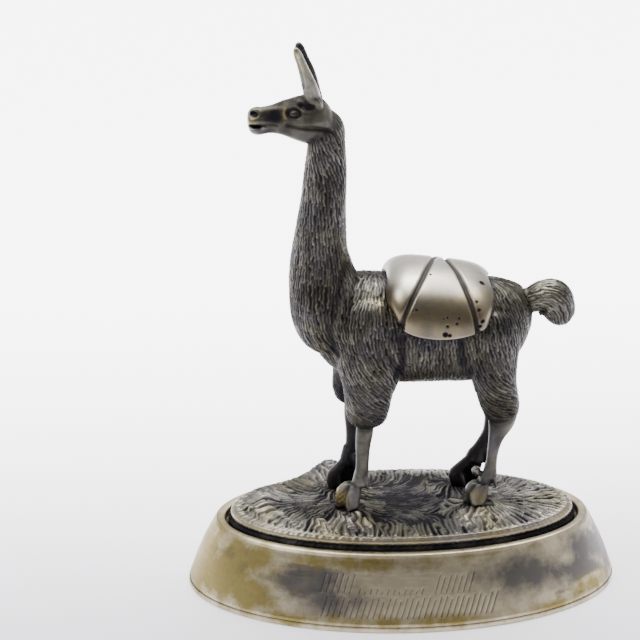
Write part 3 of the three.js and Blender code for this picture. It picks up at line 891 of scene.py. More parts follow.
def ear(side, tip, slim):
    """An ear with a hollow in front; tip moves its point back and down, slim narrows it behind."""

    def y(f):
        return side * (2.05 + 0.45 * f)

    horn = sweep("ear", [
        [-17.4, y(-0.6), 84, 1.3, 1.1],
        [-18.2 - slim / 3, y(0), 87, 1.7 - slim / 3, 1.2],
        [-18.9 - slim / 2, y(0.2), 90, 1.8 - slim / 2, 1.1],
        [-19.7 + tip / 4 - slim, y(0.5), 93.2, 1.65 - slim, 0.9],
        [-20.8 + tip / 2 - slim, y(0.8), 96.4 - tip / 2, 1.3 - slim, 0.75],
        [-22.1 + tip - slim, y(1), 100 - tip, 1 - slim * 0.6, 0.57],
    ], cap=0.12)
    scoop = sweep("scoop", [
        [-20.7, y(1.6), 91.1, 0.5, 0.4], [-21.4, y(1.8), 94.6, 0.6, 0.5],
        [-22.6 + tip, y(1.9), 98.9 - tip, 0.4, 0.3],
    ], cap=0.2, around=24, along=24)
    cut(horn, scoop)
    return horn


# Feet: rows of [x, z, half-depth] for the cuff, the toe that stands ahead, the other toe and the spurs behind
FEET = {
    "near_front": (
        [[-8.75, 9.2, 1.3], [-9.0, 7.2, 1.55], [-9.15, 5.6, 1.75], [-9.1, 4.9, 1.7]],
        [[-11.2, 5.6, 1.0], [-12.3, 4.3, 1.35], [-12.75, 3.0, 1.4], [-12.9, 1.6, 1.35], [-12.8, 0.4, 1.25],
         [-12.7, -1.0, 1.1]],
        [[-10.0, 5.4, 1.2], [-10.3, 4.2, 1.4], [-10.6, 2.8, 1.5], [-10.8, 1.5, 1.5], [-10.9, 0.5, 1.35],
         [-10.9, -1.0, 1.2]],
        [[-8.2, 8.0, 0.7], [-7.9, 6.4, 0.6], [-7.7, 5.0, 0.4], [-7.6, 4.2, 0.2]]),
    "far_front": (
        [[-10.6, 9.0, 1.4], [-10.9, 7.4, 1.5], [-11.0, 6.0, 1.7], [-11.0, 4.8, 1.7]],
        [[-11.4, 6.2, 1.1], [-12.5, 4.8, 1.3], [-13.6, 3.5, 1.5], [-14.1, 2.4, 1.5], [-14.0, 1.2, 1.5],
         [-13.4, -1.9, 1.4]],
        [[-10.9, 6.0, 1.5], [-11.4, 4.4, 1.9], [-11.7, 2.8, 2.1], [-11.9, 1.4, 2.1], [-12.0, 0.0, 1.9],
         [-12.0, -1.9, 1.6]],
        [[-9.7, 8.2, 1.1], [-9.4, 6.6, 1.3], [-9.2, 5.0, 1.2], [-9.2, 3.2, 1.0]]),
    "near_hind": (
        [[17.9, 9.4, 1.2], [17.7, 7.6, 1.35], [17.2, 5.8, 1.4], [16.8, 4.6, 1.2]],
        [[15.3, 5.2, 1.0], [14.5, 4.3, 1.25], [14.0, 3.2, 1.25], [14.0, 1.8, 1.15], [14.1, 0.6, 1.1],
         [14.1, -0.8, 1.0]],
        [[16.4, 5.2, 1.2], [15.9, 4.0, 1.55], [15.5, 2.8, 1.85], [15.3, 1.6, 1.75], [15.2, 0.7, 1.35],
         [15.2, -0.8, 1.1]],
        [[18.5, 8.4, 0.65], [18.7, 6.6, 0.5], [18.85, 5.0, 0.36], [19.0, 3.8, 0.16]]),
    "far_hind": (
        [[17.2, 9.0, 1.3], [16.7, 7.6, 1.6], [16.0, 6.2, 2.0], [15.6, 5.0, 2.1]],
        [[14.9, 6.0, 1.1], [13.6, 4.8, 1.3], [12.4, 3.7, 1.4], [11.6, 2.8, 1.4], [11.8, 1.6, 1.6],
         [12.6, -1.9, 1.6]],
        [[16.0, 5.9, 1.6], [15.4, 4.4, 2.0], [14.9, 3.0, 2.2], [14.7, 1.6, 2.1], [14.6, 0.2, 1.9],
         [14.6, -1.9, 1.6]],
        [[17.8, 8.2, 0.6], [17.9, 6.6, 0.5], [17.9, 5.2, 0.36], [17.9, 4.2, 0.18]]),
}


def foot(name):
    """A cuff at the shin's end, two pointed spurs behind it, and two toes of which the inner stands ahead."""
    y = STANCE[name][1]
    inward = -math.copysign(1, y)
    cuff, ahead, beside, spur = FEET[name]
    parts = [sweep("cuff", [[x, y, z, a, a * 0.88] for x, z, a in cuff], cap=0.04, around=32, along=24)]
    for s, toe in ((inward, ahead), (-inward, beside)):
        parts.append(sweep(
            "toe", [[x, y + s * (0.4 + 0.12 * k), z, a, 0.95 + 0.03 * k] for k, (x, z, a) in enumerate(toe)],
            cap=0.05, square=3.2, axis=(0, 0, -1), around=36, along=40))
        parts.append(sweep(
            "spur", [[x, y + s * 0.7, z, a, a] for x, z, a in spur], cap=0.2, around=20, along=24))
    return parts


def leg(name):
    wool, bare = ([[x, y, z, a, b] for x, z, a, b, y in rows] for rows in LEGS[name])
    return [sweep("wool", wool), sweep("shin", bare, cap=0.08, around=36), *foot(name)]


# Where the fleece is painted lighter, partly as rubbed wear and partly as painted highlight: [middle, radius]
RUBBED_AND_HIGHLIT = [
    ((-5.0, -3.6, 39.6), 2.0), ((-2.5, -5.0, 37.0), 1.6), ((16.5, -1.5, 36.5), 2.2),
    ((-6.6, -5.0, 24.0), 0.9), ((17.8, -1.5, 39.5), 1.6), ((-13.0, -3.5, 42.0), 1.2),
]

# Which way the fleece runs, seen from the side: [x, z, degrees from straight down towards the tail]
RUN_OF_FLEECE = [
    (-8.4, 57.5, 34), (-10.6, 54.5, 8), (-8.0, 54.0, 30), (-9.0, 49.0, 6), (-11.5, 47.0, -4), (-9.5, 42.0, 2),
    (-12.5, 38.0, 2), (-8.0, 38.0, -8), (-12.0, 33.0, 16), (-8.5, 31.0, 32), (-4.5, 37.0, -4), (-4.5, 33.0, 6),
    (-6.0, 30.0, 28), (-2.5, 29.0, 34), (-4.5, 26.0, 52), (-4.5, 22.5, 58), (-1.0, 34.0, 0), (3.0, 32.0, 0),
    (4.0, 28.0, -4), (8.0, 33.0, 8), (12.0, 37.0, 6), (12.5, 33.0, 2), (9.0, 30.0, 12), (12.0, 29.5, 30),
    (9.5, 27.0, 50), (11.0, 25.0, 84), (11.3, 23.0, 70), (7.5, 29.0, 4),
]


def fleece_flow(points):
    """The direction of the locks at each point, before it is laid on the surface."""
    weight = np.zeros(len(points))
    total = np.zeros((len(points), 2))
    for x, z, degrees in RUN_OF_FLEECE:
        near = np.exp(-((points[:, 0] - x) ** 2 + (points[:, 2] - z) ** 2) / 8.0) + 1e-9
        weight += near
        total += near[:, None] * (math.sin(math.radians(degrees)), -math.cos(math.radians(degrees)))
    total /= weight[:, None]
    flow = np.stack([total[:, 0], np.zeros(len(points)), total[:, 1]], 1)
    spine = place(reading([row[:3] for row in TAIL], np.linspace(0, 1, 40)))
    step = np.gradient(spine, axis=0)
    on_tail = points[:, 0] > 14.2
    nearest = np.argmin(np.linalg.norm(points[on_tail][:, None] - spine[None], axis=2), axis=1)
    flow[on_tail] = step[nearest]
    return flow


# Carving of the face, seen from the side: [line of (x, z), radius, rise, darkness]
FACE = [
    # groove along the cheek and its wider end
    ([(-13.6, 58.1), (-12.2, 57.9), (-10.6, 57.75), (-9.8, 57.64), (-9.06, 57.41), (-8.6, 57.2)],
     0.22, -0.2, 0.5),
    ([(-10.4, 57.72), (-9.1, 57.42), (-8.7, 57.25)], 0.32, -0.12, 0.6),
    ([(-11.9, 60.35), (-11.3, 60.2), (-10.6, 60.15)], 0.36, -0.32, 0.95),  # hollow before the ear
    ([(-14.0, 60.4), (-13.2, 60.7), (-12.2, 60.75)], 0.2, 0.1, 0.0),  # brow
    ([(-13.6, 60.15), (-12.7, 60.35), (-12.0, 60.15)], 0.16, -0.1, 0.6),  # fold under the brow
    ([(-12.3, 58.5), (-11.1, 58.45), (-9.6, 58.5)], 0.5, 0.12, 0.0),  # cheek bone
    ([(-16.3, 59.2), (-14.6, 59.2)], 0.55, -0.16, 0.0),  # hollow side of the muzzle
    ([(-17.6, 59.3), (-17.1, 59.15)], 0.34, -0.3, 1.0),  # nostril
    ([(-17.3, 59.75), (-16.8, 59.6), (-16.5, 59.3)], 0.15, 0.14, 0.0),  # its wing
    ([(-16.7, 58.05), (-16.0, 58.0), (-15.2, 58.0), (-14.6, 57.9)], 0.12, -0.12, 0.5),  # line of the lips
    ([(-17.7, 58.3), (-17.1, 58.35)], 0.28, 0.12, 0.0),  # upper lip
    ([(-17.5, 57.75), (-16.6, 57.65)], 0.24, -0.1, 1.0),  # open mouth
    ([(-17.6, 57.05), (-16.6, 56.95)], 0.24, 0.08, 0.0),  # lower lip
    ([(-16.2, 57.3), (-14.9, 57.3)], 0.3, -0.1, 0.2),  # under the corner of the mouth
    ([(-14.2, 57.0), (-12.4, 56.4), (-11.3, 55.9)], 0.4, 0.08, 0.0),  # edge of the jaw
]
EYE_AT = (-12.78, 59.48)
EYE_R = (0.78, 0.52)
# Patina: [x, z, half-length, half-height, strength]
PATINA = {
    "dark": [
        (8.58, 11.67, 0.14, 0.13, 1.0), (8.3, 14.7, 0.25, 0.3, 0.8), (-6.6, 11.8, 0.12, 0.8, 0.7),
        (-5.3, 13.75, 0.9, 0.12, 0.8), (9.4, 13.65, 0.6, 0.14, 0.9), (9.6, 18.9, 0.25, 1.4, 0.75),
        (10.25, 13.4, 0.22, 0.6, 0.9), (-14.85, 58.95, 0.85, 0.85, 0.92), (-15.7, 59.0, 0.6, 0.7, 0.5),
        (-14.2, 60.1, 0.6, 0.45, 0.7), (-17.1, 57.7, 0.6, 0.22, 0.95), (-12.7, 60.4, 1.0, 0.3, 0.75),
        (-11.2, 60.25, 0.8, 0.35, 0.95), (-12.84, 59.46, 0.62, 0.46, 0.72), (-13.2, 58.6, 1.0, 0.5, 0.35),
        (-14.2, 57.1, 3.0, 0.6, 0.3), (-11.4, 57.0, 2.4, 0.7, 0.25), (-11.9, 64.21, 0.16, 0.1, 1.0),
        (-10.78, 61.81, 0.13, 0.13, 1.0), (-11.4, 61.2, 0.4, 0.5, 0.6), (-11.2, 62.4, 1.3, 2.0, 0.42),
        (-10.4, 57.55, 1.9, 0.3, 0.4), (-4.9, 17.0, 1.4, 5.0, 0.3), (10.2, 17.5, 1.9, 5.5, 0.46),
    ],
    "warm": [
        (-7.3, 12.0, 0.9, 1.0, 0.6), (8.6, 12.2, 1.0, 0.8, 0.5), (10.2, 16.0, 0.2, 1.6, 0.5),
        (-13.85, 59.4, 0.16, 1.1, 0.8), (-17.4, 58.3, 0.42, 0.28, 0.9), (-12.75, 66.2, 0.35, 0.9, 0.9),
        (-12.2, 64.9, 0.3, 0.6, 0.8), (-7.6, 12.0, 0.75, 1.2, 0.75),
    ],
}


def carve_lines(points, lines, sideways, lift, dark, least):
    """Sinks or raises lines seen from the side, and darkens them from a least share of their depth."""
    for line, radius, rise, shade in lines:
        cover = bell(distance_to(points[:, [0, 2]], line) / radius) * sideways
        lift += rise * cover
        lay(dark, shade * smoothstep(least, 0.8, cover))


def carve_face(points, normals, lift, dark, warm):
    """Adds the eyes, brows, grooves and lips to a lift along the normals, and the patina to its fields."""
    x, y, z = points.T
    on_head = (z > 55.4) & (x < -8)
    sideways = np.clip(np.abs(normals[:, 1]) * 1.6, 0, 1) * on_head * smoothstep(61.6, 61.2, z)
    carve_lines(points, FACE, sideways, lift, dark, 0.15)
    out = oval(x, z, EYE_AT, EYE_R)
    rim = bell((out - 0.92) / 0.2)
    eyeball = np.sqrt(np.maximum(0, 1 - (out / 0.7) ** 2))
    lift += sideways * (0.1 * bell((out - 1.35) / 0.22) - 0.17 * rim + 0.07 * eyeball)
    lay(dark, sideways * rim)
    for field, spots in ((dark, PATINA["dark"]), (warm, PATINA["warm"])):
        for px, pz, a, b, strength in spots:
            lay(field, strength * smoothstep(1.3, 0.7, oval(x, z, (px, pz), (a, b))) * (y < 1.5))


# Rough toe of the near front foot: its middle, its half-sizes and how fast its lumps follow along x, y and z
TOE_AT = (-7.6, -2.6, 12.0)
TOE_R = (0.9, 1.2, 1.1)
TOE_WAVES = (11, 8, 10)


def nodules(points):
    """Lumps of the rough toe, from -1 to 1."""
    toe = bell(np.linalg.norm((points - TOE_AT) / TOE_R, axis=1)) * (points[:, 2] < 13.2)
    return toe * np.prod(np.sin(points * TOE_WAVES + (0, 1, 0)), axis=1)


# Creases between the masses of the fleece, seen from the side, with painted shade in them: [line of (x, z),
# radius, rise, darkness of the painted shade]
CREASES = [
    ([(-6.6, 42.6), (-7.2, 40.2), (-8.1, 37.4), (-8.9, 34.6), (-8.7, 32.6), (-8.0, 30.8)], 0.42, -0.3, 0.55),
    ([(-0.7, 33.4), (-0.5, 31.4), (-0.6, 29.4), (-1.0, 28.4)], 0.5, -0.34, 0.85),
    ([(6.1, 32.9), (6.25, 31.2), (6.45, 29.6)], 0.5, -0.34, 0.85),
    ([(13.9, 40.4), (14.4, 38.6), (14.3, 36.8)], 0.45, -0.26, 0.8),
]


def bare_share(points):
    """1 on the smooth head, ears and lower legs, 0 in the fleece."""
    x, z = points[:, 0], points[:, 2]
    above_jaw = smoothstep(-0.25, 0.25, z - (55.85 + 0.475 * (x + 11.2)))
    before_nape = smoothstep(0.3, -0.3, x + 7.9 + 0.36 * (z - 58.3) ** 2)
    head = above_jaw * before_nape * (z > 50)
    ears = smoothstep(60.9, 61.5, z)
    hem = np.where(x < 2, 21.3 - 0.35 * (x + 4.6), 21.9)
    legs = smoothstep(0.12, -0.12, z - hem)
    return np.clip(head + ears + legs, 0, 1)


class BuildLlama(bpy.types.Operator):
    """The cast llama: its swept body with face, ears, feet and every lock of fleece carved in"""

    bl_idname = "llama.build_llama"
    bl_label = "Llama"

    def execute(self, context):
        fleece = settings("fleece")
        parts = [
            sweep("torso", TORSO, cap=0.13, axis=(1, 0, 0)), sweep("neck", NECK, cap=0.09, axis=(0, 0, -1)),
            *skull(), ear(-1, 0, 0.3), ear(1, 0.6, 0.12), sweep("tail", TAIL, cap=0.16),
        ]
        for name in LEGS:
            parts += leg(name)
        # Small knob on its arm, inside the near hind ankle
        parts.append(ball("knob", (15.0, -4.7, 7.2), (1.0, 0.75, 1.1)))
        parts.append(ball("knob_arm", (16.3, -4.9, 6.6), (1.5, 0.6, 0.6)))
        obj = join_objects(parts)
        apply_modifier(obj, "REMESH", mode="VOXEL", voxel_size=fleece.grain * 1)
        mesh = obj.data
        edges = edges_of(mesh)
        points = spread(points_of(mesh), edges, 3)
        x, y, z = points.T
        for hoof in STANCE.values():
            hx, hy, hz = place(hoof)
            points[(np.hypot(x - hx, y - hy) < 3) & (z < hz), 2] = hz  # a flat sole
        set_points(mesh, points)
        normals = spread(normals_of(mesh), edges, 6)
        normals /= np.linalg.norm(normals, axis=1)[:, None]
        bare = bare_share(points)
        woolly = 1 - bare
        hollow = ((spread(points, edges, 100) - points) * normals).sum(1)
        lift, dark, warm = np.zeros((3, len(points)))
        carve_face(points, normals, lift, dark, warm)
        # The creases' darkness is painted shade
        carve_lines(points, CREASES, np.clip(np.abs(normals[:, 1]) * 1.5 - 0.2, 0, 1), lift, dark, 0.1)
        lift += 0.16 * nodules(points)
        small = smoothstep(21.0, 27.0, z)  # locks are finer low on the legs
        height, tone = comb(
            points, normals, fleece_flow(points), woolly, fleece.pitch * (0.85 + 0.15 * small),
            fleece.length * (0.75 + 0.25 * small), fleece.relief * (0.8 + 0.2 * small), fleece.seed, 0.13)
        lift += woolly * (height - fleece.relief + FLEECE_LIFT)
        # Rubbed wear and painted highlight: the fleece lighter round the listed spots
        rub_and_highlight = np.zeros(len(points))
        for spot, radius in RUBBED_AND_HIGHLIT:
            lay(rub_and_highlight, bell(np.linalg.norm(points - spot, axis=1) / radius))
        crest = woolly * (height / fleece.relief * 0.9 + 0.16 * (tone - 0.5) + 0.4 * rub_and_highlight) + bare * 0.6
        # Painted shade: darker in large hollows. Bare parts lighter where they bulge, as rubbed wear and painted
        # highlight
        crest -= 1.4 * np.maximum(0, hollow) * (1 - 0.5 * bare)
        crest += bare * np.clip(-1.2 * hollow, 0, 0.5)
        ears = smoothstep(61.0, 62.0, z)
        # Painted light: the near ear lighter than the far one
        crest += 0.32 * ears * (y < 0)
        inward = -normals[:, 1] * np.sign(y)  # how much a side faces the figure's middle plane
        # Painted shade on the ears' sides that face the middle, more on the far ear
        lay(dark, ears * smoothstep(-0.5, 0.3, inward) * np.where(y > 0, 0.75, 0.5))
        # Painted shade on the legs' inner sides below the belly and on the far legs, except their outer sides
        inner = smoothstep(0.1, 0.6, inward) * smoothstep(28.5, 24.0, z) * (z > 10.5)
        beyond = smoothstep(27.5, 20.5, z) * (y > 1.2) * smoothstep(-0.85, -0.4, inward)
        lay(dark, 0.85 * np.maximum(inner, beyond))
        # Painted shadow on the fleece under the pack's edge
        lay(dark, self.shade_under_pack(points))
        set_points(mesh, points + normals * lift[:, None])
        for name, values in (("crest", crest), ("bare", bare), ("dark", dark), ("warm", warm)):
            set_attribute(mesh, name, values)
        faces = len(mesh.polygons) * 2
        if faces > LLAMA_FACES:
            apply_modifier(obj, "DECIMATE", ratio=LLAMA_FACES / faces)
        finish_piece(obj, "llama_cast", "llama", oxidised_silver(), 180)
        return {"FINISHED"}

    @staticmethod
    def shade_under_pack(points):
        """Painted shadow on the fleece close to the pack's lower edge and ends."""
        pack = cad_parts["pack"]
        tree = BVHTree.FromPolygons(
            [v.co / MM for v in pack.data.vertices], [p.vertices[:] for p in pack.data.polygons])
        low, high = box_mm("pack")
        shade = np.zeros(len(points))
        close = ((points > low - 1.2) & (points < high + 1.2)).all(1)
        for i in np.flatnonzero(close):
            distance = tree.find_nearest(Vector(points[i]))[3]
            shade[i] = 0.9 * float(smoothstep(0.95, 0.35, np.float64(distance)))
        return shade


# Ground plate


# Leafy clumps, and patches of painted shade on the plate: [x, y, half-length, half-width] in millimetres
CLUMPS = [
    (-9.5, -6.1, 1.7, 1.1), (-7.7, -5.5, 1.1, 1.0), (-5.3, -6.2, 1.5, 1.3), (5.6, -2.4, 1.4, 1.3),
    (7.2, -6.0, 1.0, 1.1), (8.6, -5.4, 1.2, 1.1), (-16.3, -1.0, 1.1, 3.2),
]
SHADE_PATCHES = [
    (-0.8, -2.4, 3.2, 2.2), (-11.6, 2.4, 2.2, 1.8), (4.6, 3.6, 1.9, 1.5), (13.2, 1.2, 2.0, 1.7),
    (-6.9, -6.0, 0.22, 1.7), (-9.6, 4.6, 1.8, 1.6), (9.6, -4.6, 0.2, 1.0),
]

# Humps of the grass, as shares of the plate's half-length: [x, y, rise, half-length, half-width]
TUFTS = [
    (-0.4, 0.31, 0.1, 0.13, 0.1), (-0.81, 0.03, 0.035, 0.06, 0.16), (-0.515, -0.277, 0.027, 0.11, 0.05),
    (0.34, -0.257, 0.03, 0.064, 0.064), (0.168, 0.297, 0.022, 0.158, 0.09), (0.27, -0.12, 0.035, 0.075, 0.075),
    (-0.42, 0.36, 0.03, 0.12, 0.08),
]
NEAR_SUNK, FAR_SUNK = 0.12, 0.55  # how deep the near and the far hooves stand in the grass
# The rolled edge and its skirt, going down: [how far out of the plate's outline, how far below the row above]
SKIRT = [(-0.1, 0), (0.01, -0.12), (0.05, -0.26), (0.02, -0.28), (-0.03, -0.14), (0.34, -0.05), (0.3, -0.3)]


def grass_height(x, y):
    """Height of the plate's top under the strands: a shallow swell, tufts and a mound under each hoof."""
    h = PLATE_Z + SWELL * (1 - oval(x, y, (0, 0), PLATE) ** 3)
    for tuft in TUFTS:
        tx, ty, rise, a, b = np.array(tuft) * PLATE[0]
        h += rise * bell(oval(x, y, (tx, ty), (a, b)))
    for hoof in STANCE.values():
        hx, hy, hz = place(hoof)
        near = bell(oval(x, y, (hx, hy), share((5.1, 4.3))) ** 1.7)
        h += (hz + (NEAR_SUNK if hy < 0 else FAR_SUNK) - h) * near
    return h


def grass_flow(x, y):
    """The way the grass lies: outwards at the edge, away from each hoof, and across the middle in waves."""
    r = oval(x, y, (0, 0), PLATE)
    outward = np.stack([x / PLATE[0] ** 2, y / PLATE[1] ** 2], 1)
    outward /= np.maximum(1e-9, np.linalg.norm(outward, axis=1))[:, None]
    wave = 0.5 * np.sin(x * 0.55 + y * 0.4)
    flow = np.stack([np.ones_like(x), wave], 1) * 0.5 * (1 - smoothstep(0.45, 0.75, r))[:, None]
    flow += outward * smoothstep(0.4, 0.72, r)[:, None]
    for hoof in STANCE.values():
        apart = np.stack([x, y], 1) - place(hoof)[:2]
        distance = np.linalg.norm(apart, axis=1)
        flow += apart / np.maximum(0.3, distance)[:, None] * (2.4 * bell(distance / 3.2))[:, None]
    return np.column_stack([flow, np.zeros_like(x)])


class BuildGround(bpy.types.Operator):
    """Cast plate of grass with a beaded edge, its strands laid one by one"""

    bl_idname = "llama.build_ground"
    bl_label = "Ground"

    def execute(self, context):
        ground = settings("ground")
        coarse = 1
        obj = add_shape(
            bpy.ops.mesh.primitive_grid_add,
            x_subdivisions=ground.across // coarse, y_subdivisions=ground.deep // coarse, size=2)
        mesh = obj.data
        u, v = points_of(mesh)[:, :2].T
        x = u * np.sqrt(1 - v * v / 2) * (PLATE[0] - 0.12)
        y = v * np.sqrt(1 - u * u / 2) * (PLATE[1] - 0.12)
        base = grass_height(x, y)
        points = np.stack([x, y, base], 1)
        set_points(mesh, points)
        r = oval(x, y, (0, 0), PLATE)
        to_edge = (1 - r) * min(PLATE[0], PLATE[1] * 1.5)
        hooves = np.zeros(len(points))
        apart = np.full(len(points), 9.0)
        for hoof in STANCE.values():
            hx, hy, _ = place(hoof)
            lay(hooves, smoothstep(1.15, 0.85, oval(x, y, (hx, hy), share((2.9, 2.2)))))
            apart = np.minimum(apart, np.hypot(x - hx, y - hy))
        coarse_blades = np.clip(smoothstep(0.55, 0.8, r) + 0.7 * bell((apart - 2.4) / 1.5), 0, 1)
        clump = np.zeros(len(points))
        for cx, cy, a, b in CLUMPS:
            lay(clump, bell(oval(x, y, (cx, cy), (a, b))))
        mask = (1 - hooves) * (to_edge > 0.85)
        pitch = 0.36 + 0.2 * coarse_blades + 0.34 * clump
        length = 1.25 + 0.3 * coarse_blades
        lift = ground.relief * (0.5 + 0.65 * coarse_blades + 0.8 * clump)
        edges = edges_of(mesh)
        height, tone = comb(
            points, normals_of(mesh), grass_flow(x, y), mask, pitch, length, lift, ground.seed, 0.3)
        height = spread(height, edges, 1, 0.4)
        turn = np.arctan2(y / PLATE[1], x / PLATE[0])
        beads = np.cos(turn * 150) * 0.5 + 0.5 * np.cos(turn * 97 + 1.0)
        rim = smoothstep(1.05, 0.7, to_edge)
        height = height * (1 - rim) + rim * (0.2 + 0.05 * beads) - 0.34 * smoothstep(0.6, 0.0, to_edge) ** 2
        top = base + height * (1 - hooves) - 0.1 - 0.14 * hooves
        set_points(mesh, np.stack([x, y, top], 1))
        crest = height / (ground.relief * 0.95) * 0.8 + 0.25 * (tone - 0.5)
        crest = crest * (1 - rim) + rim * (0.75 + 0.2 * beads)
        # Painted shadow in a ring round each hoof, away from the rim, and painted shade over the listed patches
        dark = 0.45 * bell((apart - 1.1) / 0.6) * (1 - smoothstep(0.55, 0.75, r))
        for cx, cy, a, b in SHADE_PATCHES:
            lay(dark, 0.15 * bell(oval(x, y, (cx, cy), (a, b))))
        # Painted light: lighter towards the rim, along the rolled edge and on the clumps
        bright = 0.26 * smoothstep(0.62, 0.85, r) + 0.2
        lay(bright, 0.8 * bell((to_edge - 0.4) / 0.5))
        lay(bright, 0.9 * clump)
        for name, values in (("crest", crest), ("dark", dark), ("bright", bright)):
            set_attribute(mesh, name, values)
        self.close_below(obj)
        finish_piece(obj, "ground_grass", "ground", grass_silver(), 180)
        return {"FINISHED"}

    @staticmethod
    def close_below(obj):
        """Rolls the plate's edge over and takes it down to a flat underside."""
        activate(obj)
        start_edit()
        bpy.ops.mesh.region_to_loop()
        for (before, _), (after, drop) in zip(SKIRT, SKIRT[1:]):
            extrude_ring(PLATE + before, PLATE + after, drop)
        bpy.ops.transform.resize(value=(1, 1, 0), center_override=(0, 0, RECESS_Z))
        bpy.ops.mesh.edge_face_add()
        end_edit()
        x, y, z = points_of(obj.data).T
        depth = PLATE_Z - z
        side = (oval(x, y, (0, 0), PLATE) > 0.972) & (depth > 0.05)
        fade = smoothstep(0.62, 0.8, depth)[side]
        # Down the edge's side, painted light at the top fades into painted shade below
        for name, top, bottom in (("crest", 1.0, 0.3), ("dark", 0.0, 0.6), ("bright", 0.9, 0.1)):
            data = obj.data.attributes[name].data
            values = column(data, "value", 1, np.float32).ravel()
            values[side] = top + (bottom - top) * fade
            data.foreach_set("value", values)


# Pack


PACK_C = place((7.16, 0, 40.69))
# The cords' grooves: [degrees round the pack from its top towards the near side, x from its middle in mm].
# They meet a little beyond the top and are mirrored from there.
CORD_APEX = -25
CORDS = [
    [(-25, -0.28), (2, -1.1), (15, -1.57), (29, -2.17), (41, -2.85), (53, -3.61), (62, -4.11), (71, -4.55),
     (78, -4.76), (95, -5.1)],
    [(-25, 0.72), (-4, 1.27), (12, 1.8), (28, 2.24), (42, 2.67), (53, 3.04), (63, 3.33), (72, 3.59), (84, 3.8),
     (95, 3.95)],
]
# Casting pits seen in the picture: [pixel across, pixel down, radius in mm]
PITS = [
    (482.2, 283.5, 0.26), (476.4, 303.1, 0.13), (479.3, 312.1, 0.17), (482.9, 325.3, 0.2), (459.5, 319.2, 0.12),
    (457.3, 323.9, 0.13), (447.7, 326.1, 0.13), (445.5, 335.3, 0.22), (449.6, 336.2, 0.16), (447.7, 318.0, 0.1),
    (416.9, 311.4, 0.14), (430.9, 274.0, 0.11), (480.4, 331.0, 0.18), (443.5, 318.6, 0.08), (413.0, 313.0, 0.08),
]


class BuildPack(bpy.types.Operator):
    """Polished rounded pack over the back, with two cord grooves on each side and casting pits"""

    bl_idname = "llama.build_pack"
    bl_label = "Pack"

    def execute(self, context):
        obj = add_shape(bpy.ops.mesh.primitive_cube_add, size=2)
        start_edit()
        bpy.ops.mesh.subdivide(number_cuts=130)
        bpy.ops.object.mode_set(mode="OBJECT")
        points = np.tan(points_of(obj.data) * math.pi / 4)
        points /= np.linalg.norm(points, axis=1)[:, None]
        set_points(obj.data, self.skin(points))
        start_edit()
        bpy.ops.mesh.bisect(plane_co=PACK_C, plane_no=(0, 0, 1), clear_inner=True, use_fill=True)
        end_edit()
        cut(obj, sweep("seat", TORSO, cap=0.13, axis=(1, 0, 0), grow=SEAT_GAP, around=48, along=48))
        self.carve(obj)
        finish_piece(obj, "pack_polished", "pack", polished_silver(), 40)
        return {"FINISHED"}

    @staticmethod
    def skin(ball_points):
        """The pack's outside from points of a unit ball."""
        u, v, w = ball_points.T
        ring = np.sqrt(np.maximum(1e-12, 1 - u * u))
        cy, cz = v / ring, w / ring
        height = np.clip(cz, 0, 1)
        front, back = (
            (at_hem + (PACK_R[0] - at_hem) * (1 - (1 - height) ** flare), hem + (top - hem) * height)
            for at_hem, flare, hem, top in PACK_ENDS)
        half, corner = (np.where(u < 0, front[k], back[k]) for k in (0, 1))
        reach = (np.abs(u) ** corner + ring ** corner) ** (-1 / corner)
        x = half * reach * u
        along = np.minimum(np.abs(reach * u), 0.99999)
        y = PACK_R[1] * (1 - along ** PACK_PLAN) ** (1 / PACK_PLAN) * rounded(cy, PACK_SECTION)
        z = PACK_R[2] * reach * ring * rounded(cz, PACK_SECTION) * (1 - PACK_TILT * half * u)
        return PACK_C + np.stack([x, y, z], 1)

    @staticmethod
    def carve(obj):
        """Sinks the cords' grooves and the pits, lets the hem sag, and marks the dark grooves, pits and painted
        shade underneath, and the painted shade low on its sides.
        """
        mesh = obj.data
        points = points_of(mesh)
        normals = normals_of(mesh)
        above = points - PACK_C
        outer = ((above - (0, 0, 1.0)) * normals).sum(1) > 0.4
        turn = np.degrees(np.arctan2(-above[:, 1], above[:, 2]))
        turn = np.abs(turn - CORD_APEX) + CORD_APEX
        cover = np.zeros(len(points))
        for cord in CORDS:
            away = np.abs(above[:, 0] - np.interp(turn, *zip(*cord)))
            lay(cover, smoothstep(CORD_W * 0.62, CORD_W * 0.2, away))
        cover = spread(cover * outer, edges_of(mesh), 2)
        lift = -CORD_DEPTH * cover
        # Dark in the cords' grooves, and painted shade on the underside that lies against the fleece
        dark = np.maximum(0.88 * smoothstep(0.15, 0.7, cover), np.where(outer, 0, 0.9))
        for px, py, radius in PITS:
            away = np.linalg.norm(points - seen_at(points, (px, py)), axis=1) / radius
            lift -= PIT_DEPTH * bell(away * 1.3)
            lay(dark, smoothstep(1.85, 1.15, away))
        hem = smoothstep(0.3, 0.0, above[:, 2]) * outer
        above += normals * lift[:, None]
        drop = 1 - np.clip(above[:, 2] / PACK_R[2], 0, 1)
        above[:, 2] += PACK_SAG * drop ** 2 * (above[:, 0] / PACK_ENDS[0][0]) ** 2
        set_points(mesh, PACK_C + above)
        set_attribute(mesh, "dark", dark)
        # Painted shade, darker low on the sides and a little less at the hem
        set_attribute(mesh, "low", smoothstep(6.4, 4.0, above[:, 2]) * (1 - 0.3 * hem))


# Stage


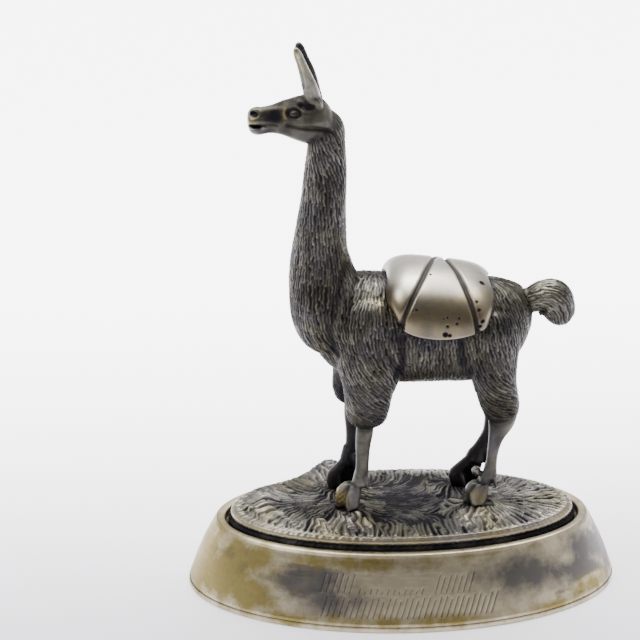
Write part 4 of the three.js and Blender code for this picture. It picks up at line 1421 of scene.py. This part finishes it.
class BuildStage(bpy.types.Operator):
    """Plain pale floor, soft studio light and the camera"""

    bl_idname = "llama.build_stage"
    bl_label = "Stage"

    def execute(self, context):
        stage = settings("stage")
        self.floor(stage)
        self.world(stage)
        self.light("key", (-0.34, -0.16, 0.52), 0.3, stage.key)
        self.light("top", (0.08, 0.14, 0.60), 0.5, stage.top)
        self.camera(context)
        return {"FINISHED"}

    @staticmethod
    def floor(stage):
        floor = add_shape(bpy.ops.mesh.primitive_plane_add, size=4)
        floor.name = "floor"
        material, tree, shader = new_material("matt pale card")
        colour = layer(tree, rgba(stage.floor), noise(tree, 1.5, 3), 0.2, 0.8, linear("#ffffff"), 0.06)
        tree.links.new(colour, shader.inputs["Base Color"])
        shader.inputs["Roughness"].default_value = 0.7
        # The floor glows more towards the back: painted light that brightens the ground behind the figure
        where = add_node(tree, "ShaderNodeTexCoord").outputs["Object"]
        back = add_node(tree, "ShaderNodeSeparateXYZ", {0: where}).outputs[1]
        glow = add_node(tree, "ShaderNodeMapRange", {
            "Value": back, "From Min": -0.03, "From Max": 0.09, "To Min": 0, "To Max": stage.glow,
        }, interpolation_type="SMOOTHSTEP")
        tree.links.new(glow.outputs[0], shader.inputs["Emission Strength"])
        shader.inputs["Emission Color"].default_value = rgba(stage.floor)
        floor.data.materials.append(material)

    @staticmethod
    def world(stage):
        world = bpy.data.worlds.new("pale studio")
        world.use_nodes = True
        tree = world.node_tree
        back = tree.nodes["Background"]
        where = add_node(tree, "ShaderNodeTexCoord").outputs["Generated"]
        upward = add_node(tree, "ShaderNodeSeparateXYZ", {0: where}).outputs[2]
        toward = add_node(
            tree, "ShaderNodeVectorMath", {0: where, 1: (-0.10, -0.93, 0.36)}, operation="DOT_PRODUCT",
        ).outputs["Value"]
        shade = layer(tree, linear("#d8d8dc"), upward, 0.0, 0.8, linear("#ffffff"))
        shade = layer(tree, shade, toward, 0.15, 0.85, linear("#6c6a69"))  # the dim room behind the camera
        tree.links.new(shade, back.inputs["Color"])
        back.inputs["Strength"].default_value = stage.world
        bpy.context.scene.world = world

    @staticmethod
    def light(name, location, size, power):
        data = bpy.data.lights.new(name, "AREA")
        data.shape = "DISK"
        data.size = size
        data.energy = power
        light = bpy.data.objects.new(name, data)
        light.location = location
        aim = Vector((0, 0, 0.035)) - Vector(location)
        light.rotation_euler = aim.to_track_quat("-Z", "Y").to_euler()
        bpy.context.collection.objects.link(light)

    @staticmethod
    def camera(context):
        data = bpy.data.cameras.new("camera")
        data.sensor_width = SENSOR_MM
        data.lens = FOCAL_PX * SENSOR_MM / FRAME_PX
        data.clip_start, data.clip_end = 0.01, 20
        camera = bpy.data.objects.new("camera", data)
        right, up, ahead = camera_axes()
        turned = Matrix(np.stack([right, up, -ahead], 1).tolist()).to_4x4()
        camera.matrix_world = Matrix.Translation(Vector(EYE * MM)) @ turned
        bpy.context.collection.objects.link(camera)
        context.scene.camera = camera


class LlamaPanel(bpy.types.Panel):
    """Lists the pieces of the figurine and their settings"""

    bl_idname = "VIEW3D_PT_llama"
    bl_label = "Cast llama"
    bl_space_type = "VIEW_3D"
    bl_region_type = "UI"
    bl_category = "Llama"

    def draw(self, context):
        for operator in OPERATORS:
            self.layout.operator(operator.bl_idname)
        for name in SETTINGS:
            group = settings(name)
            box = self.layout.box()
            box.label(text=name.title())
            for key in group.__annotations__:
                box.prop(group, key)


SETTINGS = {
    "fleece": FleeceSettings, "ground": GroundSettings, "finish": FinishSettings, "stage": StageSettings,
}
OPERATORS = [BuildBasePlate, BuildPlinth, BuildGround, BuildLlama, BuildPack, BuildStage]


def register():
    for one in [*SETTINGS.values(), *OPERATORS, LlamaPanel]:
        bpy.utils.register_class(one)
    for name, group in SETTINGS.items():
        setattr(bpy.types.Scene, "llama_" + name, bpy.props.PointerProperty(type=group))


def unregister():
    for name in SETTINGS:
        delattr(bpy.types.Scene, "llama_" + name)
    for one in [LlamaPanel, *reversed(OPERATORS), *SETTINGS.values()]:
        bpy.utils.unregister_class(one)


def main():
    register()
    bpy.ops.llama.build_base_plate()
    bpy.ops.llama.build_plinth()
    bpy.ops.llama.build_ground()
    bpy.ops.llama.build_llama()
    bpy.ops.llama.build_pack()
    bpy.ops.llama.build_stage()


if __name__ == "__main__":
    main()
